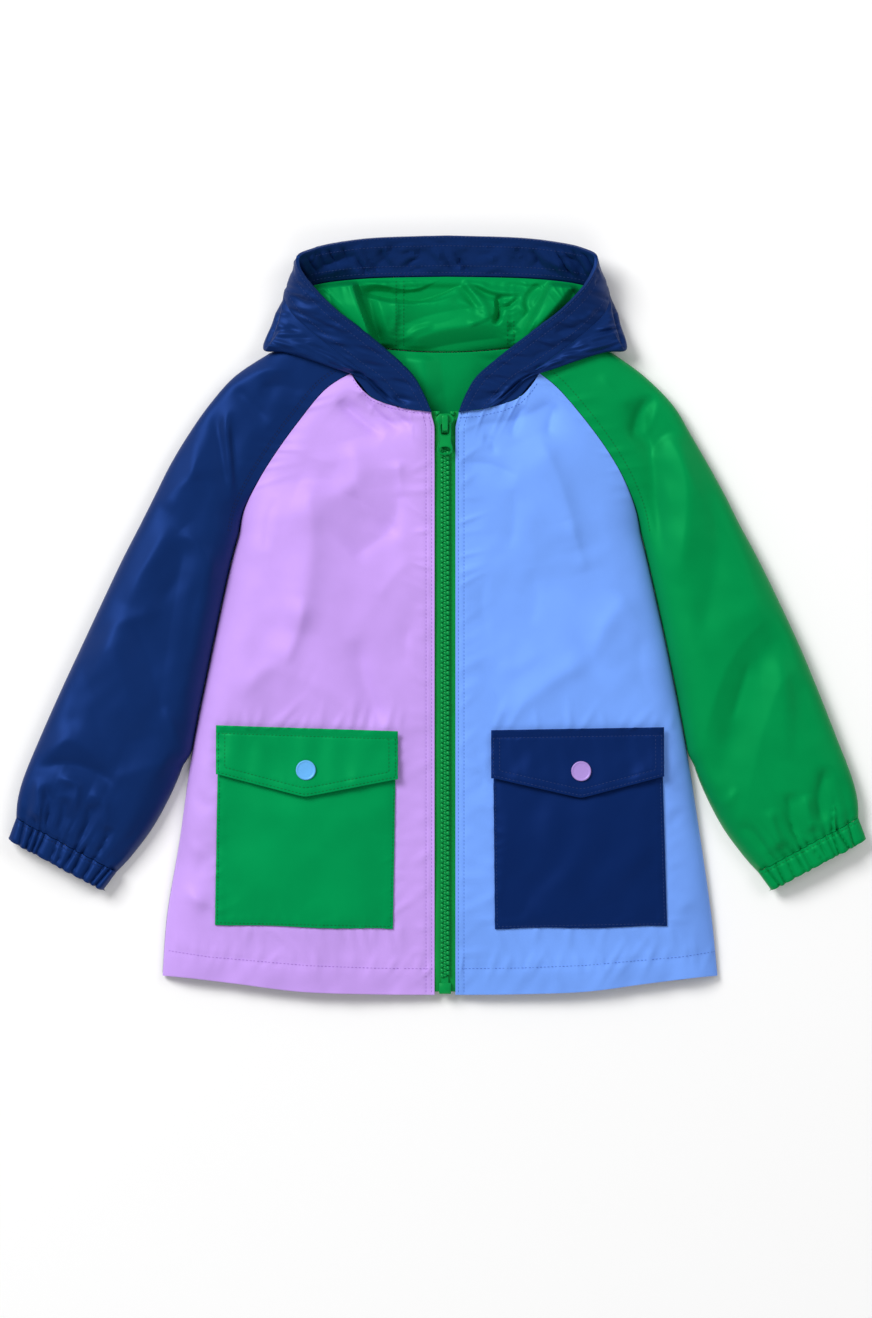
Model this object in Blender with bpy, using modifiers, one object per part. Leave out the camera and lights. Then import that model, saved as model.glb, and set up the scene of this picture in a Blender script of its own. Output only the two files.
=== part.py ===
"""Small child's hooded rain jacket, zipped up and laid flat on its back.

Every cloth piece is a panel: a grid of points on its outer face, given its wall inwards.
Tables and sizes are in millimetres. X runs to the wearer's left, Y up to the hood, Z up from
the table, and the origin lies on the table under the zip. Tables give the wearer's right half;
the left half is the same cut, and the lean column says how far its fold line lies off centre.
"""

import math
from collections import namedtuple

import bmesh
import bpy
from mathutils import Vector

MM = 0.001

# Driving sizes
CLOTH = 1.2          # wall of the coated shell
LINING = 1.0         # wall of the lining
SEAM = 0.35          # gap between two sewn panels
LAID_ON = 0.7        # gap between a panel and a patch sewn on it
FOOT = 1.95          # height at which a front meets the back along the side seam
ROLL = 26.0          # width over which a front rounds down to its side seam
SLEEVE_ROLL = 27.0   # width over which a sleeve rounds down to its outer fold
FOLD_HEIGHT = 8.0    # height of a sleeve's outer fold
ZIP_HALF_GAP = 7.3   # from the zip's middle to the edge of a front
ZIP_FLARE = 2.4      # how much further the fronts part at the neck
HEM_AT_ZIP = -265.3
NECK_AT_ZIP = 142.9

SHORT_ROUND = (0.0, 0.7, 2.6, 7.0, 15.0)     # distances from a rounded edge to the grid lines near it

RIGHT, LEFT = -1, 1
SIDES = {RIGHT: "right", LEFT: "left"}

SideRow = namedtuple("SideRow", "x y lean")
SIDE_SEAM = [                                 # hem to underarm
    SideRow(-198.0, -252.0, -3.5),
    SideRow(-194.6, -209.0, -4.0),
    SideRow(-186.0, -157.0, -3.4),
    SideRow(-177.0, -94.0, -3.8),
    SideRow(-164.5, -31.0, -3.6),
    SideRow(-151.0, 32.0, -3.8),
    SideRow(-144.2, 57.4, -3.5),
]

RaglanRow = namedtuple("RaglanRow", "front_x front_y back_x back_y fold_x fold_y crest bow lean fold_lean")
RAGLAN = [                                    # underarm to neck
    RaglanRow(-144.2, 57.4, -144.2, 57.4, -213.5, 63.7, 21.0, 0, -3.5, -3.5),
    RaglanRow(-140.7, 74.2, -138.0, 75.0, -203.0, 84.7, 20.5, 0, -3.5, -3.5),
    RaglanRow(-130.2, 95.2, -125.0, 98.0, -192.5, 105.7, 20.0, 0, -2.4, -4.0),
    RaglanRow(-116.9, 116.2, -109.0, 122.0, -179.9, 126.7, 19.0, 0, -1.8, -3.8),
    RaglanRow(-101.5, 137.2, -91.0, 145.0, -165.2, 147.7, 18.0, 0, -1.8, -2.8),
    RaglanRow(-84.0, 158.2, -71.0, 167.0, -147.0, 168.0, 16.5, 3, -2.0, -3.8),
    RaglanRow(-66.0, 170.0, -49.0, 188.2, -122.5, 184.3, 15.0, 9, 0.0, -2.7),
]

SleeveRow = namedtuple("SleeveRow", "seam_x seam_y fold_x fold_y crest lean")
SLEEVE = [                                    # underarm to cuff
    SleeveRow(-144.2, 57.4, -213.5, 63.7, 21.0, -3.5),
    SleeveRow(-153.0, 27.3, -226.1, 39.2, 22.0, -3.2),
    SleeveRow(-160.6, -6.3, -239.4, 11.2, 22.5, -3.0),
    SleeveRow(-168.2, -41.3, -254.1, -20.3, 22.5, -3.0),
    SleeveRow(-175.6, -76.3, -268.8, -51.8, 22.0, -3.8),
    SleeveRow(-186.0, -111.3, -282.8, -83.3, 21.0, -4.6),
    SleeveRow(-202.3, -144.2, -294.7, -112.0, 20.0, -5.0),
    SleeveRow(-218.4, -166.6, -299.3, -128.8, 18.5, -5.2),
    SleeveRow(-230.0, -179.2, -300.3, -141.4, 16.5, -5.4),
]

HeightRow = namedtuple("HeightRow", "y height")
FRONT_HEIGHT = [                              # the fronts' outer face along the zip
    HeightRow(-266.0, 8.4),
    HeightRow(-245.0, 10.6),
    HeightRow(-200.0, 13.6),
    HeightRow(-120.0, 15.6),
    HeightRow(0.0, 17.0),
    HeightRow(80.0, 17.0),
    HeightRow(110.0, 16.5),
    HeightRow(172.0, 16.2),
]
PUFF = 2.0                                    # rise of a front between the zip and its side
SEAM_DIP = 1.2                                # how deep a raglan seam pulls the cloth down
SEAM_DIP_REACH = 7.0
ROLL_FADE = 48.0                              # height above the underarm over which the rolled edge ends

HEM = [(-198.0, -252.0), (-165.0, -257.0), (-96.0, -263.0), (-50.0, -264.8), (-7.3, -265.3)]
NECK = [(-66.0, 170.0), (-61.0, 162.0), (-52.5, 153.0), (-40.8, 147.8), (-24.0, 143.8), (-9.7, 142.9)]
BACK_SHORTER = 1.0                            # the back's hem lies this far inside the fronts'
BACK_LINING_FOOT = 104.0                      # the lining is cut off here, out of sight under the fronts
BACK_LINING_FOOT_HALF = 62.0
BACK_NECK_DIP = 3.4                           # the back neck seam curves down this much at its middle

FoldRow = namedtuple("FoldRow", "piece from_x from_y to_x to_y depth half_width")
FOLDS = [                                     # largest creases; a negative depth is a ridge
    FoldRow("front_right", -98.0, 92.0, -108.0, -30.0, 1.6, 13.0),
    FoldRow("front_right", -60.0, 78.0, -40.0, 30.0, 1.0, 14.0),
    FoldRow("front_left", 72.0, 115.0, 97.0, 38.0, 1.5, 13.0),
    FoldRow("front_left", 78.0, 86.0, 80.0, 20.0, -0.8, 12.0),
    FoldRow("sleeve_right", -147.0, 140.0, -144.0, 68.0, 2.2, 11.0),
    FoldRow("sleeve_right", -236.0, -17.0, -204.0, -72.0, 2.6, 13.0),
    FoldRow("sleeve_right", -185.0, -60.0, -178.0, -92.0, 1.8, 9.0),
    FoldRow("sleeve_left", 132.0, 121.0, 137.0, 70.0, 2.2, 11.0),
    FoldRow("sleeve_left", 172.0, 90.0, 184.0, 29.0, 1.8, 14.0),
    FoldRow("sleeve_left", 208.0, -21.0, 190.0, -109.0, 2.6, 13.0),
]

RimRow = namedtuple("RimRow", "rim_x rim_y rim_z seam_x seam_y seam_z lean")
BAND = [                                      # hood band, from the front neck round to the crown
    RimRow(-9.3, 142.6, 18.1, -30.0, 145.4, 18.1, 0.0),
    RimRow(-19.6, 163.8, 20.0, -41.5, 157.0, 18.2, 0.0),
    RimRow(-30.0, 175.7, 23.5, -48.0, 165.0, 19.5, 1.0),
    RimRow(-43.4, 187.6, 26.5, -63.7, 175.7, 20.5, 1.8),
    RimRow(-58.8, 200.2, 29.0, -80.5, 189.0, 21.0, 2.4),
    RimRow(-76.3, 213.5, 30.5, -96.0, 201.6, 20.0, 2.4),
    RimRow(-91.7, 228.9, 30.5, -107.0, 212.8, 17.0, 2.2),
    RimRow(-101.5, 242.0, 28.5, -111.8, 223.3, 12.5, 1.2),
    RimRow(-102.2, 251.5, 25.5, -109.8, 229.0, 8.5, 1.5),
    RimRow(-92.4, 256.4, 21.5, -100.5, 231.0, 5.0, 2.4),
    RimRow(-77.7, 260.4, 18.5, -82.0, 235.2, 4.0, 2.4),
    RimRow(-48.3, 264.3, 15.5, -50.0, 238.0, 3.5, 2.0),
    RimRow(1.4, 266.0, 14.0, 1.4, 239.0, 3.4, 1.4),
]
BAND_WALL = 2.4                               # the band is a strip folded over the rim
CROWN = len(BAND) - 1                         # place along the band of the hood's centre line
SIDE_PANEL_END = 11.27                        # place along the band where the centre panel starts

HoodRow = namedtuple("HoodRow", "place fold_x fold_y fold_z radius end_x end_y end_z lean")
HOOD_SIDE = [                                 # how a side panel leaves the band, folds and ends at the neck
    HoodRow(0.05, -34.2, 146.3, 18.4, 1.1, -34.2, 146.6, 17.1, 0.0),
    HoodRow(0.35, -38.8, 149.8, 18.4, 1.3, -40.4, 148.5, 17.1, 0.0),
    HoodRow(1.0, -48.3, 157.6, 18.6, 1.5, -52.0, 153.9, 17.2, 0.0),
    HoodRow(2.0, -57.5, 166.4, 18.9, 1.7, -61.0, 164.4, 17.3, 0.0),
    HoodRow(3.0, -76.0, 172.6, 19.3, 2.3, -74.0, 177.0, 17.4, 0.0),
    HoodRow(4.0, -95.0, 179.2, 19.1, 2.6, -97.0, 190.0, 16.8, 0.0),
    HoodRow(5.0, -112.5, 184.4, 17.0, 2.8, -112.0, 192.0, 14.6, 0.0),
    HoodRow(6.0, -127.2, 186.6, 11.5, 4.0, -120.0, 192.6, 7.5, 0.0),
    HoodRow(7.0, -121.5, 204.0, 6.4, 4.4, -115.0, 192.0, 2.0, 0.8),
    HoodRow(8.0, -114.8, 219.0, 4.4, 4.0, -106.0, 190.6, 0.2, 1.6),
    HoodRow(9.0, -99.5, 222.0, 1.8, 1.6, -92.0, 189.8, 0.2, 2.0),
    HoodRow(10.0, -80.0, 228.0, 1.5, 1.5, -68.0, 189.4, 0.2, 1.0),
    HoodRow(SIDE_PANEL_END, -37.3, 230.0, 1.5, 1.5, -37.4, 189.2, 0.2, 0.0),
]
HOOD_UNROLLED = 7.6                           # past this place the side panel lies flat, with no fold
HOOD_LINING_FACE = 2.9                        # height of the hood lining's face on the back
HOOD_LINING_RISE = 6.5                        # how much higher it lies at the hood's sides

PocketRow = namedtuple("PocketRow", "side cloth top_in top_out flap_tip foot_in foot_out snap_x snap_y")
POCKETS = [                                   # corners (x, y) nearest the zip and furthest from it
    PocketRow(RIGHT, "green", (-32.9, -80.5), (-160.3, -76.3), (-98.0, -126.7),
              (-36.4, -219.1), (-161.0, -216.3), -97.3, -107.8),
    PocketRow(LEFT, "navy_flat", (32.2, -79.8), (153.3, -77.7), (95.2, -127.4),
              (35.0, -219.1), (155.4, -217.0), 95.2, -108.5),
]
FLAP_DROP = 33.8                              # flap's depth at its corners
POCKET_HIDDEN = 14.0                          # the bag starts this far below the flap's top edge

# Zip, a moulded size 5
TAPE_WALL = 0.8
TAPE_REACH = 13.0                             # half width of both tapes, under the fronts
CHAIN_HALF = 3.1
CHAIN_WALL = 2.4
CHAIN_TOP = 132.0
SLIDER_FOOT, SLIDER_HEAD = 128.2, 141.6
PULL_AXIS_Y = 134.8
PULL_WALL = 1.3
PULL_END = 112.5

COLOURS = {                                   # sRGB colour and roughness of each cloth and moulding
    "lilac": ((202, 164, 242), 0.45),
    "blue": ((121, 168, 252), 0.45),
    "navy": ((40, 63, 117), 0.42),
    "navy_flat": ((14, 42, 96), 0.45),
    "green": ((10, 148, 84), 0.42),
    "lining_green": ((1, 130, 66), 0.38),
    "zip_green": ((0, 140, 62), 0.5),
    "snap_blue": ((108, 184, 247), 0.3),
    "snap_lilac": ((179, 150, 221), 0.3),
}


def linear(value):
    share = value / 255
    if share <= 0.04045:
        return share / 12.92
    return ((share + 0.055) / 1.055) ** 2.4


def make_material(name):
    colour, roughness = COLOURS[name]
    material = bpy.data.materials.new(name)
    material.use_nodes = True
    shader = material.node_tree.nodes["Principled BSDF"]
    shader.inputs["Base Color"].default_value = (*[linear(v) for v in colour], 1)
    shader.inputs["Roughness"].default_value = roughness
    shader.inputs["Metallic"].default_value = 0.0
    return material


def smooth(t):
    t = min(max(t, 0.0), 1.0)
    return t * t * (3 - 2 * t)


def mix(a, b, t):
    return a + (b - a) * t


def spline(rows, place):
    """Catmull-Rom through evenly numbered rows; place counts rows, and a row may have any columns."""
    place = min(max(place, 0.0), len(rows) - 1.0)
    i = min(int(place), len(rows) - 2)
    f = place - i
    before, start, end, after = rows[max(i - 1, 0)], rows[i], rows[i + 1], rows[min(i + 2, len(rows) - 1)]
    values = [
        0.5 * (2 * b + (c - a) * f + (2 * a - 5 * b + 4 * c - d) * f ** 2 + (3 * b - a - 3 * c + d) * f ** 3)
        for a, b, c, d in zip(before, start, end, after)]
    return type(start)(*values) if hasattr(start, "_fields") else tuple(values)


def onto_side(x, lean, side):
    return x if side == RIGHT else 2 * lean - x


def rounding(distance, width):
    """Height share, 0 to 1, of a rounded edge at a distance from it."""
    t = 1 - min(max(distance / width, 0.0), 1.0)
    return math.sqrt(1 - t * t)


def front_height(y):
    rows = FRONT_HEIGHT
    for low, high in zip(rows, rows[1:]):
        if y <= high.y:
            return mix(low.height, high.height, smooth((y - low.y) / (high.y - low.y)))
    return rows[-1].height


def fold_depth(piece, x, y):
    """How far the named piece's creases lower the cloth at a point."""
    total = 0.0
    for row in FOLDS:
        if row.piece != piece:
            continue
        start = Vector((row.from_x, row.from_y))
        run = Vector((row.to_x, row.to_y)) - start
        along = (Vector((x, y)) - start).dot(run) / run.length_squared
        nearest = start + run * min(max(along, 0.0), 1.0)
        distance = (Vector((x, y)) - nearest).length / row.half_width
        total += row.depth * math.exp(-distance * distance)
    return total


# Seam lines shared by neighbouring pieces

SIDE_STEPS = 10
RAGLAN_STEPS = 8
SLEEVE_STEPS = 8


def side_rows():
    return [spline(SIDE_SEAM, (len(SIDE_SEAM) - 1) * i / SIDE_STEPS) for i in range(SIDE_STEPS + 1)]


def raglan_rows():
    return [spline(RAGLAN, (len(RAGLAN) - 1) * i / RAGLAN_STEPS) for i in range(RAGLAN_STEPS + 1)]


def front_edge(side):
    """Points (x, y) of a front's outer edge, hem to neck."""
    points = [(onto_side(r.x, r.lean, side), r.y) for r in side_rows()]
    points += [(onto_side(r.front_x, r.lean, side), r.front_y) for r in raglan_rows()[1:]]
    return points


def edge_x(side, y):
    points = front_edge(side)
    for (low_x, low_y), (high_x, high_y) in zip(points, points[1:]):
        if y <= high_y:
            return mix(low_x, high_x, (y - low_y) / (high_y - low_y))
    return points[-1][0]


def rolled_share(y):
    """1 where the front's edge is rolled down to the table, 0 where it runs on into the sleeve."""
    return 1 - smooth((y - RAGLAN[0].front_y) / ROLL_FADE)


def front_top(side, x, y):
    """Height of a front's outer face."""
    outer = edge_x(side, y)
    inset = abs(outer) - abs(x)
    across = inset / max(abs(outer) - ZIP_HALF_GAP, 1.0)
    rolled = rolled_share(y)
    crown = front_height(y) + PUFF * math.sin(math.pi * min(max(across, 0.0), 1.0))
    crown -= SEAM_DIP * (1 - rolled) * math.exp(-(inset / SEAM_DIP_REACH) ** 2)
    crown -= fold_depth("front_" + SIDES[side], x, y) * smooth(inset / 20)
    return FOOT + (crown - FOOT) * (1 - rolled * (1 - rounding(inset, ROLL)))


def zip_edge_x(side, y):
    return side * (ZIP_HALF_GAP + ZIP_FLARE * smooth((y - 131.0) / 12.0))


# Tools that make a piece

def finish(obj, material):
    obj.data.materials.append(MATERIALS[material])
    JACKET.objects.link(obj)
    return obj


def sheet(name, rows, wall, material, turned=False, tube=False):
    """A panel: a grid bent to rows of points on its outer face, with its wall laid on inwards."""
    down, across = len(rows), len(rows[0])
    mesh = bpy.data.meshes.new(name)
    bm = bmesh.new()
    bmesh.ops.create_grid(bm, x_segments=across - 1, y_segments=down - 1, size=1)
    bm.verts.ensure_lookup_table()
    for i, vert in enumerate(bm.verts):
        vert.co = Vector(rows[i // across][i % across]) * MM
    if tube:
        bmesh.ops.remove_doubles(bm, verts=bm.verts, dist=1e-6)
    if turned:
        bmesh.ops.reverse_faces(bm, faces=bm.faces)
    bm.to_mesh(mesh)
    bm.free()
    obj = bpy.data.objects.new(name, mesh)
    solidify = obj.modifiers.new("wall", "SOLIDIFY")
    solidify.thickness = wall * MM
    solidify.offset = -1
    mesh.shade_smooth()
    return finish(obj, material)


def plate(name, outline, low, high, material):
    """A flat piece between two heights, from its outline (x, y) run anticlockwise."""
    bm = bmesh.new()
    loop = [bm.verts.new(Vector((x, y, low)) * MM) for x, y in outline]
    face = bm.faces.new(loop)
    raised = bmesh.ops.extrude_face_region(bm, geom=[face])
    top = [item for item in raised["geom"] if isinstance(item, bmesh.types.BMVert)]
    bmesh.ops.translate(bm, vec=Vector((0, 0, high - low)) * MM, verts=top)
    bmesh.ops.recalc_face_normals(bm, faces=bm.faces)
    mesh = bpy.data.meshes.new(name)
    bm.to_mesh(mesh)
    bm.free()
    return finish(bpy.data.objects.new(name, mesh), material)


def offset_line(points, distance):
    """The same line of (x, y) points moved sideways, to the left of its direction."""
    moved = []
    for i, (x, y) in enumerate(points):
        ax, ay = points[max(i - 1, 0)]
        bx, by = points[min(i + 1, len(points) - 1)]
        length = math.hypot(bx - ax, by - ay)
        moved.append((x - (by - ay) / length * distance, y + (bx - ax) / length * distance))
    return moved


# Fronts: each one panel from side and raglan seam to the zip, rolled down at the side

FRONT_COLUMNS = 8        # grid lines beyond the rounded edge


def front_rows(side):
    edge = front_edge(side)
    low, high = edge[0][1], edge[-1][1]
    rows = []
    for number, (x, y) in enumerate(edge):
        share = number / (len(edge) - 1)
        zip_y = mix(HEM_AT_ZIP, NECK_AT_ZIP, (y - low) / (high - low))
        zip_x = zip_edge_x(side, zip_y)
        width = abs(x - zip_x)
        insets = list(SHORT_ROUND)
        insets += [mix(SHORT_ROUND[-1], width, i / FRONT_COLUMNS) for i in range(1, FRONT_COLUMNS + 1)]
        row = []
        for inset in insets:
            u = inset / width
            px, py = mix(x, zip_x, u), mix(y, zip_y, u)
            hem_x, hem_y = spline(HEM, u * (len(HEM) - 1))
            neck_x, neck_y = spline(NECK, u * (len(NECK) - 1))
            py += (hem_y - mix(HEM[0][1], HEM[-1][1], u)) * (1 - share) ** 3
            px -= side * (neck_x - mix(NECK[0][0], NECK[-1][0], u)) * share ** 4
            py += (neck_y - mix(NECK[0][1], NECK[-1][1], u)) * share ** 4
            row.append((px, py, front_top(side, px, py)))
        rows.append(row)
    return rows


def make_front(side, material):
    sheet("front_" + SIDES[side], front_rows(side), CLOTH, material, turned=side == LEFT)


# Back: lies flat on the table under the fronts, from hem to back neck

def back_line(side):
    """Back raglan seam, underarm to neck."""
    return [(onto_side(r.back_x, r.lean, side), r.back_y) for r in raglan_rows()]


def back_neck_y(x):
    half = abs(RAGLAN[-1].back_x)
    return RAGLAN[-1].back_y - BACK_NECK_DIP * (1 - (x / half) ** 2)


def make_back():
    hem_right = [spline(HEM, (len(HEM) - 1) * i / 6) for i in range(7)]
    hem_left = [(-x + 2 * SIDE_SEAM[0].lean * x / HEM[0][0], y) for x, y in hem_right]
    seams = {side: [(onto_side(r.x, r.lean, side), r.y) for r in side_rows()[1:]] + back_line(side)[1:]
             for side in SIDES}
    outline = [(x, y + BACK_SHORTER) for x, y in hem_right + hem_left[::-1]]
    outline += seams[LEFT]
    outline += [(x, back_neck_y(x)) for x in (36.0, 22.0, 7.0, -7.0, -22.0, -36.0)]
    outline += seams[RIGHT][::-1]
    plate("back", outline, 0.0, CLOTH, "navy")


def make_back_lining():
    """Lining of the back, which shows inside the neck."""
    neck_half = abs(RAGLAN[-1].back_x)
    rows = []
    for share in (0.0, 0.25, 0.5, 0.75, 1.0):
        half = mix(BACK_LINING_FOOT_HALF, neck_half + 1.0, share)
        row = []
        for across in (-1.0, -0.5, 0.0, 0.5, 1.0):
            x = half * across
            top = back_neck_y(min(max(x, -neck_half), neck_half)) - SEAM / 2
            row.append((x, mix(BACK_LINING_FOOT, top, share), CLOTH + SEAM + LINING))
        rows.append(row)
    sheet("back_lining", rows, LINING, "lining_green")


# Sleeves: one piece each, from the front seams over the outer fold and back under to the back seams

TOP_MIDDLE = 3           # grid lines between the two rounded parts of a sleeve's top
UNDER_COLUMNS = 2


def sleeve_section(inner, fold, back, crest, seam_z, rolled, bow, piece):
    """Points across a sleeve, from its front seam over the top, round the fold to its back seam."""
    inner, fold, back = Vector(inner), Vector(fold), Vector(back)
    width = (fold - inner).length
    insets = list(SHORT_ROUND)
    span = width - 2 * SHORT_ROUND[-1]
    insets += [SHORT_ROUND[-1] + span * i / (TOP_MIDDLE + 1) for i in range(1, TOP_MIDDLE + 1)]
    insets += [width - d for d in reversed(SHORT_ROUND)]
    normal = Vector(((fold - inner).y, -(fold - inner).x)).normalized()
    if normal.y < 0:
        normal = -normal
    points = []
    for inset in insets:
        share = inset / width
        x, y = inner.lerp(fold, share) + normal * bow * 4 * share * (1 - share)
        soft = smooth(inset / ROLL)
        near = mix(soft, rounding(inset, ROLL), rolled)
        top = FOLD_HEIGHT + (crest - FOLD_HEIGHT) * rounding(width - inset, SLEEVE_ROLL)
        top -= fold_depth(piece, x, y) * min(soft * 2, 1) * smooth((width - inset) / 18)
        points.append((x, y, mix(seam_z, top, near)))
    inward = (back - fold).normalized()
    for angle in (45, 90):
        turn = math.radians(angle)
        x, y = fold + inward * FOLD_HEIGHT * (1 - math.cos(turn))
        points.append((x, y, FOLD_HEIGHT * (1 - math.sin(turn))))
    start = fold + inward * FOLD_HEIGHT
    for i in range(1, UNDER_COLUMNS + 1):
        x, y = start.lerp(back, i / UNDER_COLUMNS)
        points.append((x, y, 0.0))
    return points


def sleeve_rows(side):
    piece = "sleeve_" + SIDES[side]
    front_seam = [(onto_side(r.front_x, r.lean, side), r.front_y) for r in raglan_rows()]
    front_side = offset_line(front_seam, -side * SEAM)
    back_side = offset_line(back_line(side), -side * SEAM)
    rows = []
    for number in range(RAGLAN_STEPS, 0, -1):
        row = raglan_rows()[number]
        seam_x, seam_y = front_seam[number]
        rolled = rolled_share(seam_y)
        rows.append(sleeve_section(
            front_side[number], (onto_side(row.fold_x, row.fold_lean, side), row.fold_y), back_side[number],
            row.crest, front_top(side, seam_x, seam_y), rolled, row.bow, piece))
    for number in range(SLEEVE_STEPS + 1):
        row = spline(SLEEVE, (len(SLEEVE) - 1) * number / SLEEVE_STEPS)
        seam_x = onto_side(row.seam_x, row.lean, side)
        if row.seam_y > SIDE_SEAM[3].y:
            seam_x = side * max(abs(seam_x), abs(edge_x(side, row.seam_y)) + 2 * SEAM)
        rows.append(sleeve_section(
            (seam_x, row.seam_y), (onto_side(row.fold_x, row.lean, side), row.fold_y),
            (seam_x, row.seam_y), row.crest, FOOT, 1.0, 0.0, piece))
    return rows


def make_sleeve(side, material):
    sheet("sleeve_" + SIDES[side], sleeve_rows(side), CLOTH, material, turned=side == LEFT)


# Cuffs: a folded band with elastic in it, round the end of each sleeve

CUFF_LENGTH = 15.8
CUFF_WALL = 2.2
CUFF_HEIGHT = 15.0
CUFF_NARROWING = 2.2
CUFF_POINTS = 22


def make_cuff(side, material):
    last = SLEEVE[-1]
    seam = Vector((onto_side(last.seam_x, last.lean, side), last.seam_y))
    fold = Vector((onto_side(last.fold_x, last.lean, side), last.fold_y))
    along = (seam - fold).normalized()
    out = Vector((along.y, -along.x))
    if out.y > 0:
        out = -out
    middle = (seam + fold) / 2
    half = (seam - fold).length / 2
    rows = []
    for step in range(3):
        share = step / 2
        centre = middle + out * (2 * SEAM + CUFF_LENGTH * share)
        reach = half - CUFF_NARROWING * share
        row = []
        for i in range(CUFF_POINTS + 1):
            turn = math.tau * (i % CUFF_POINTS) / CUFF_POINTS
            c, s = math.cos(turn), math.sin(turn)
            x, y = centre + along * reach * math.copysign(abs(c) ** 0.8, c)
            row.append((x, y, CUFF_HEIGHT / 2 * (1 + math.copysign(abs(s) ** 0.62, s))))
        rows.append(row)
    sheet("cuff_" + SIDES[side], rows, CUFF_WALL, material, turned=side == LEFT, tube=True)


# Hood band: a strip folded over the rim of the hood, from one side of the neck to the other

def band_point(place, share, lift):
    """Point on the band: place counts rows from the right front neck, over the crown, to the left."""
    def middle_line(at, across):
        side = RIGHT if at <= CROWN else LEFT
        row = spline(BAND, at if at <= CROWN else 2 * CROWN - at)
        rim = Vector((onto_side(row.rim_x, row.lean, side), row.rim_y, row.rim_z))
        seam = Vector((onto_side(row.seam_x, row.lean, side), row.seam_y, row.seam_z))
        return rim.lerp(seam, across)

    step = 0.25
    ahead = middle_line(min(place + step, 2 * CROWN), 0.5)
    behind = middle_line(max(place - step, 0.0), 0.5)
    down = middle_line(place, 1.0) - middle_line(place, 0.0)
    outward = (ahead - behind).cross(down).normalized()
    return middle_line(place, share) + outward * lift


# Places where the band and the side panels sewn to it share their grid lines
HOOD_PLACES = (0.05, 0.35, 0.7, 1.0, 1.5, 2.0, 2.5, 3.0, 3.5, 4.0, 5.0, 5.5, 6.0, 6.5, 7.0, 7.5, 8.0, 9.0,
               10.0, SIDE_PANEL_END)


def make_hood_band():
    half = [0.0, *HOOD_PLACES]
    rows = []
    for place in half + [CROWN] + [2 * CROWN - place for place in reversed(half)]:
        rows.append([band_point(place, share, BAND_WALL / 2) for share in (0.0, 0.5, 1.0)])
    sheet("hood_band", rows, BAND_WALL, "navy", turned=True)


# Hood sides: each leaves the band, folds over at the hood's outline and comes back to the neck seam



def hood_row(place):
    """The table's row at a place along the band, with its own place column as the measure."""
    for low, high in zip(HOOD_SIDE, HOOD_SIDE[1:]):
        if place <= high.place:
            number = HOOD_SIDE.index(low) + (place - low.place) / (high.place - low.place)
            return spline(HOOD_SIDE, number)
    return HOOD_SIDE[-1]


def hood_side_path(side, place):
    """Points of a side panel's outer face, from the band to the neck seam."""
    row = hood_row(place)
    on_band = place if side == RIGHT else 2 * CROWN - place
    start = band_point(on_band, 1.0, BAND_WALL / 2)
    start += (start - band_point(on_band, 0.0, BAND_WALL / 2)).normalized() * 2 * SEAM
    end = Vector((onto_side(row.end_x, row.lean, side), row.end_y, row.end_z))
    fold = Vector((onto_side(row.fold_x, row.lean, side), row.fold_y, row.fold_z))
    if place > HOOD_UNROLLED:
        fold.z = row.end_z
        return [start.lerp(fold, t) for t in (0, 0.2, 0.4, 0.6, 0.8, 1)] + [
            fold.lerp(end, t) for t in (0.15, 0.35, 0.55, 0.75, 1)]
    ahead, behind = hood_row(min(place + 0.3, SIDE_PANEL_END)), hood_row(max(place - 0.3, HOOD_SIDE[0].place))
    along = Vector((ahead.fold_x - behind.fold_x, ahead.fold_y - behind.fold_y)).normalized()
    outward = Vector((side * along.y, along.x, 0))
    centre = fold - outward * row.radius
    top = centre + Vector((0, 0, row.radius))
    points = [start.lerp(top, t) for t in (0, 0.3, 0.65, 1)]
    for angle in (45, 5, -45, -90):
        turn = math.radians(angle)
        points.append(centre + (outward * math.cos(turn) + Vector((0, 0, math.sin(turn)))) * row.radius)
    return points + [points[-1].lerp(end, t) for t in (0.35, 0.7, 1)]


def make_hood_side(side):
    rows = [hood_side_path(side, place) for place in HOOD_PLACES]
    sheet("hood_side_" + SIDES[side], rows, LINING, "navy", turned=side == RIGHT)


def make_hood_centre():
    """Centre panel of the hood's shell, flat on the table behind the lining."""
    right = [hood_side_path(RIGHT, SIDE_PANEL_END)[i] for i in (0, 2, 5, 7, 10)]
    left = [hood_side_path(LEFT, SIDE_PANEL_END)[i] for i in (0, 2, 5, 7, 10)]
    gap = Vector((1.3 * SEAM, 0, 0))
    rows = []
    for number, (start, end) in enumerate(zip(right, left)):
        row = []
        for across in (0.0, 0.25, 0.5, 0.75, 1.0):
            point = (start + gap).lerp(end - gap, across)
            if number == 0:
                place = mix(SIDE_PANEL_END, 2 * CROWN - SIDE_PANEL_END, across)
                point.y = band_point(place, 1.0, BAND_WALL / 2).y - 2.4 * SEAM
            elif number == len(right) - 1:
                point.y = max(back_neck_y(point.x) + 2 * SEAM, back_neck_y(0) + 2 * SEAM)
            row.append(point)
        rows.append(row)
    sheet("hood_centre", rows, LINING, "navy", turned=False)


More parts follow.
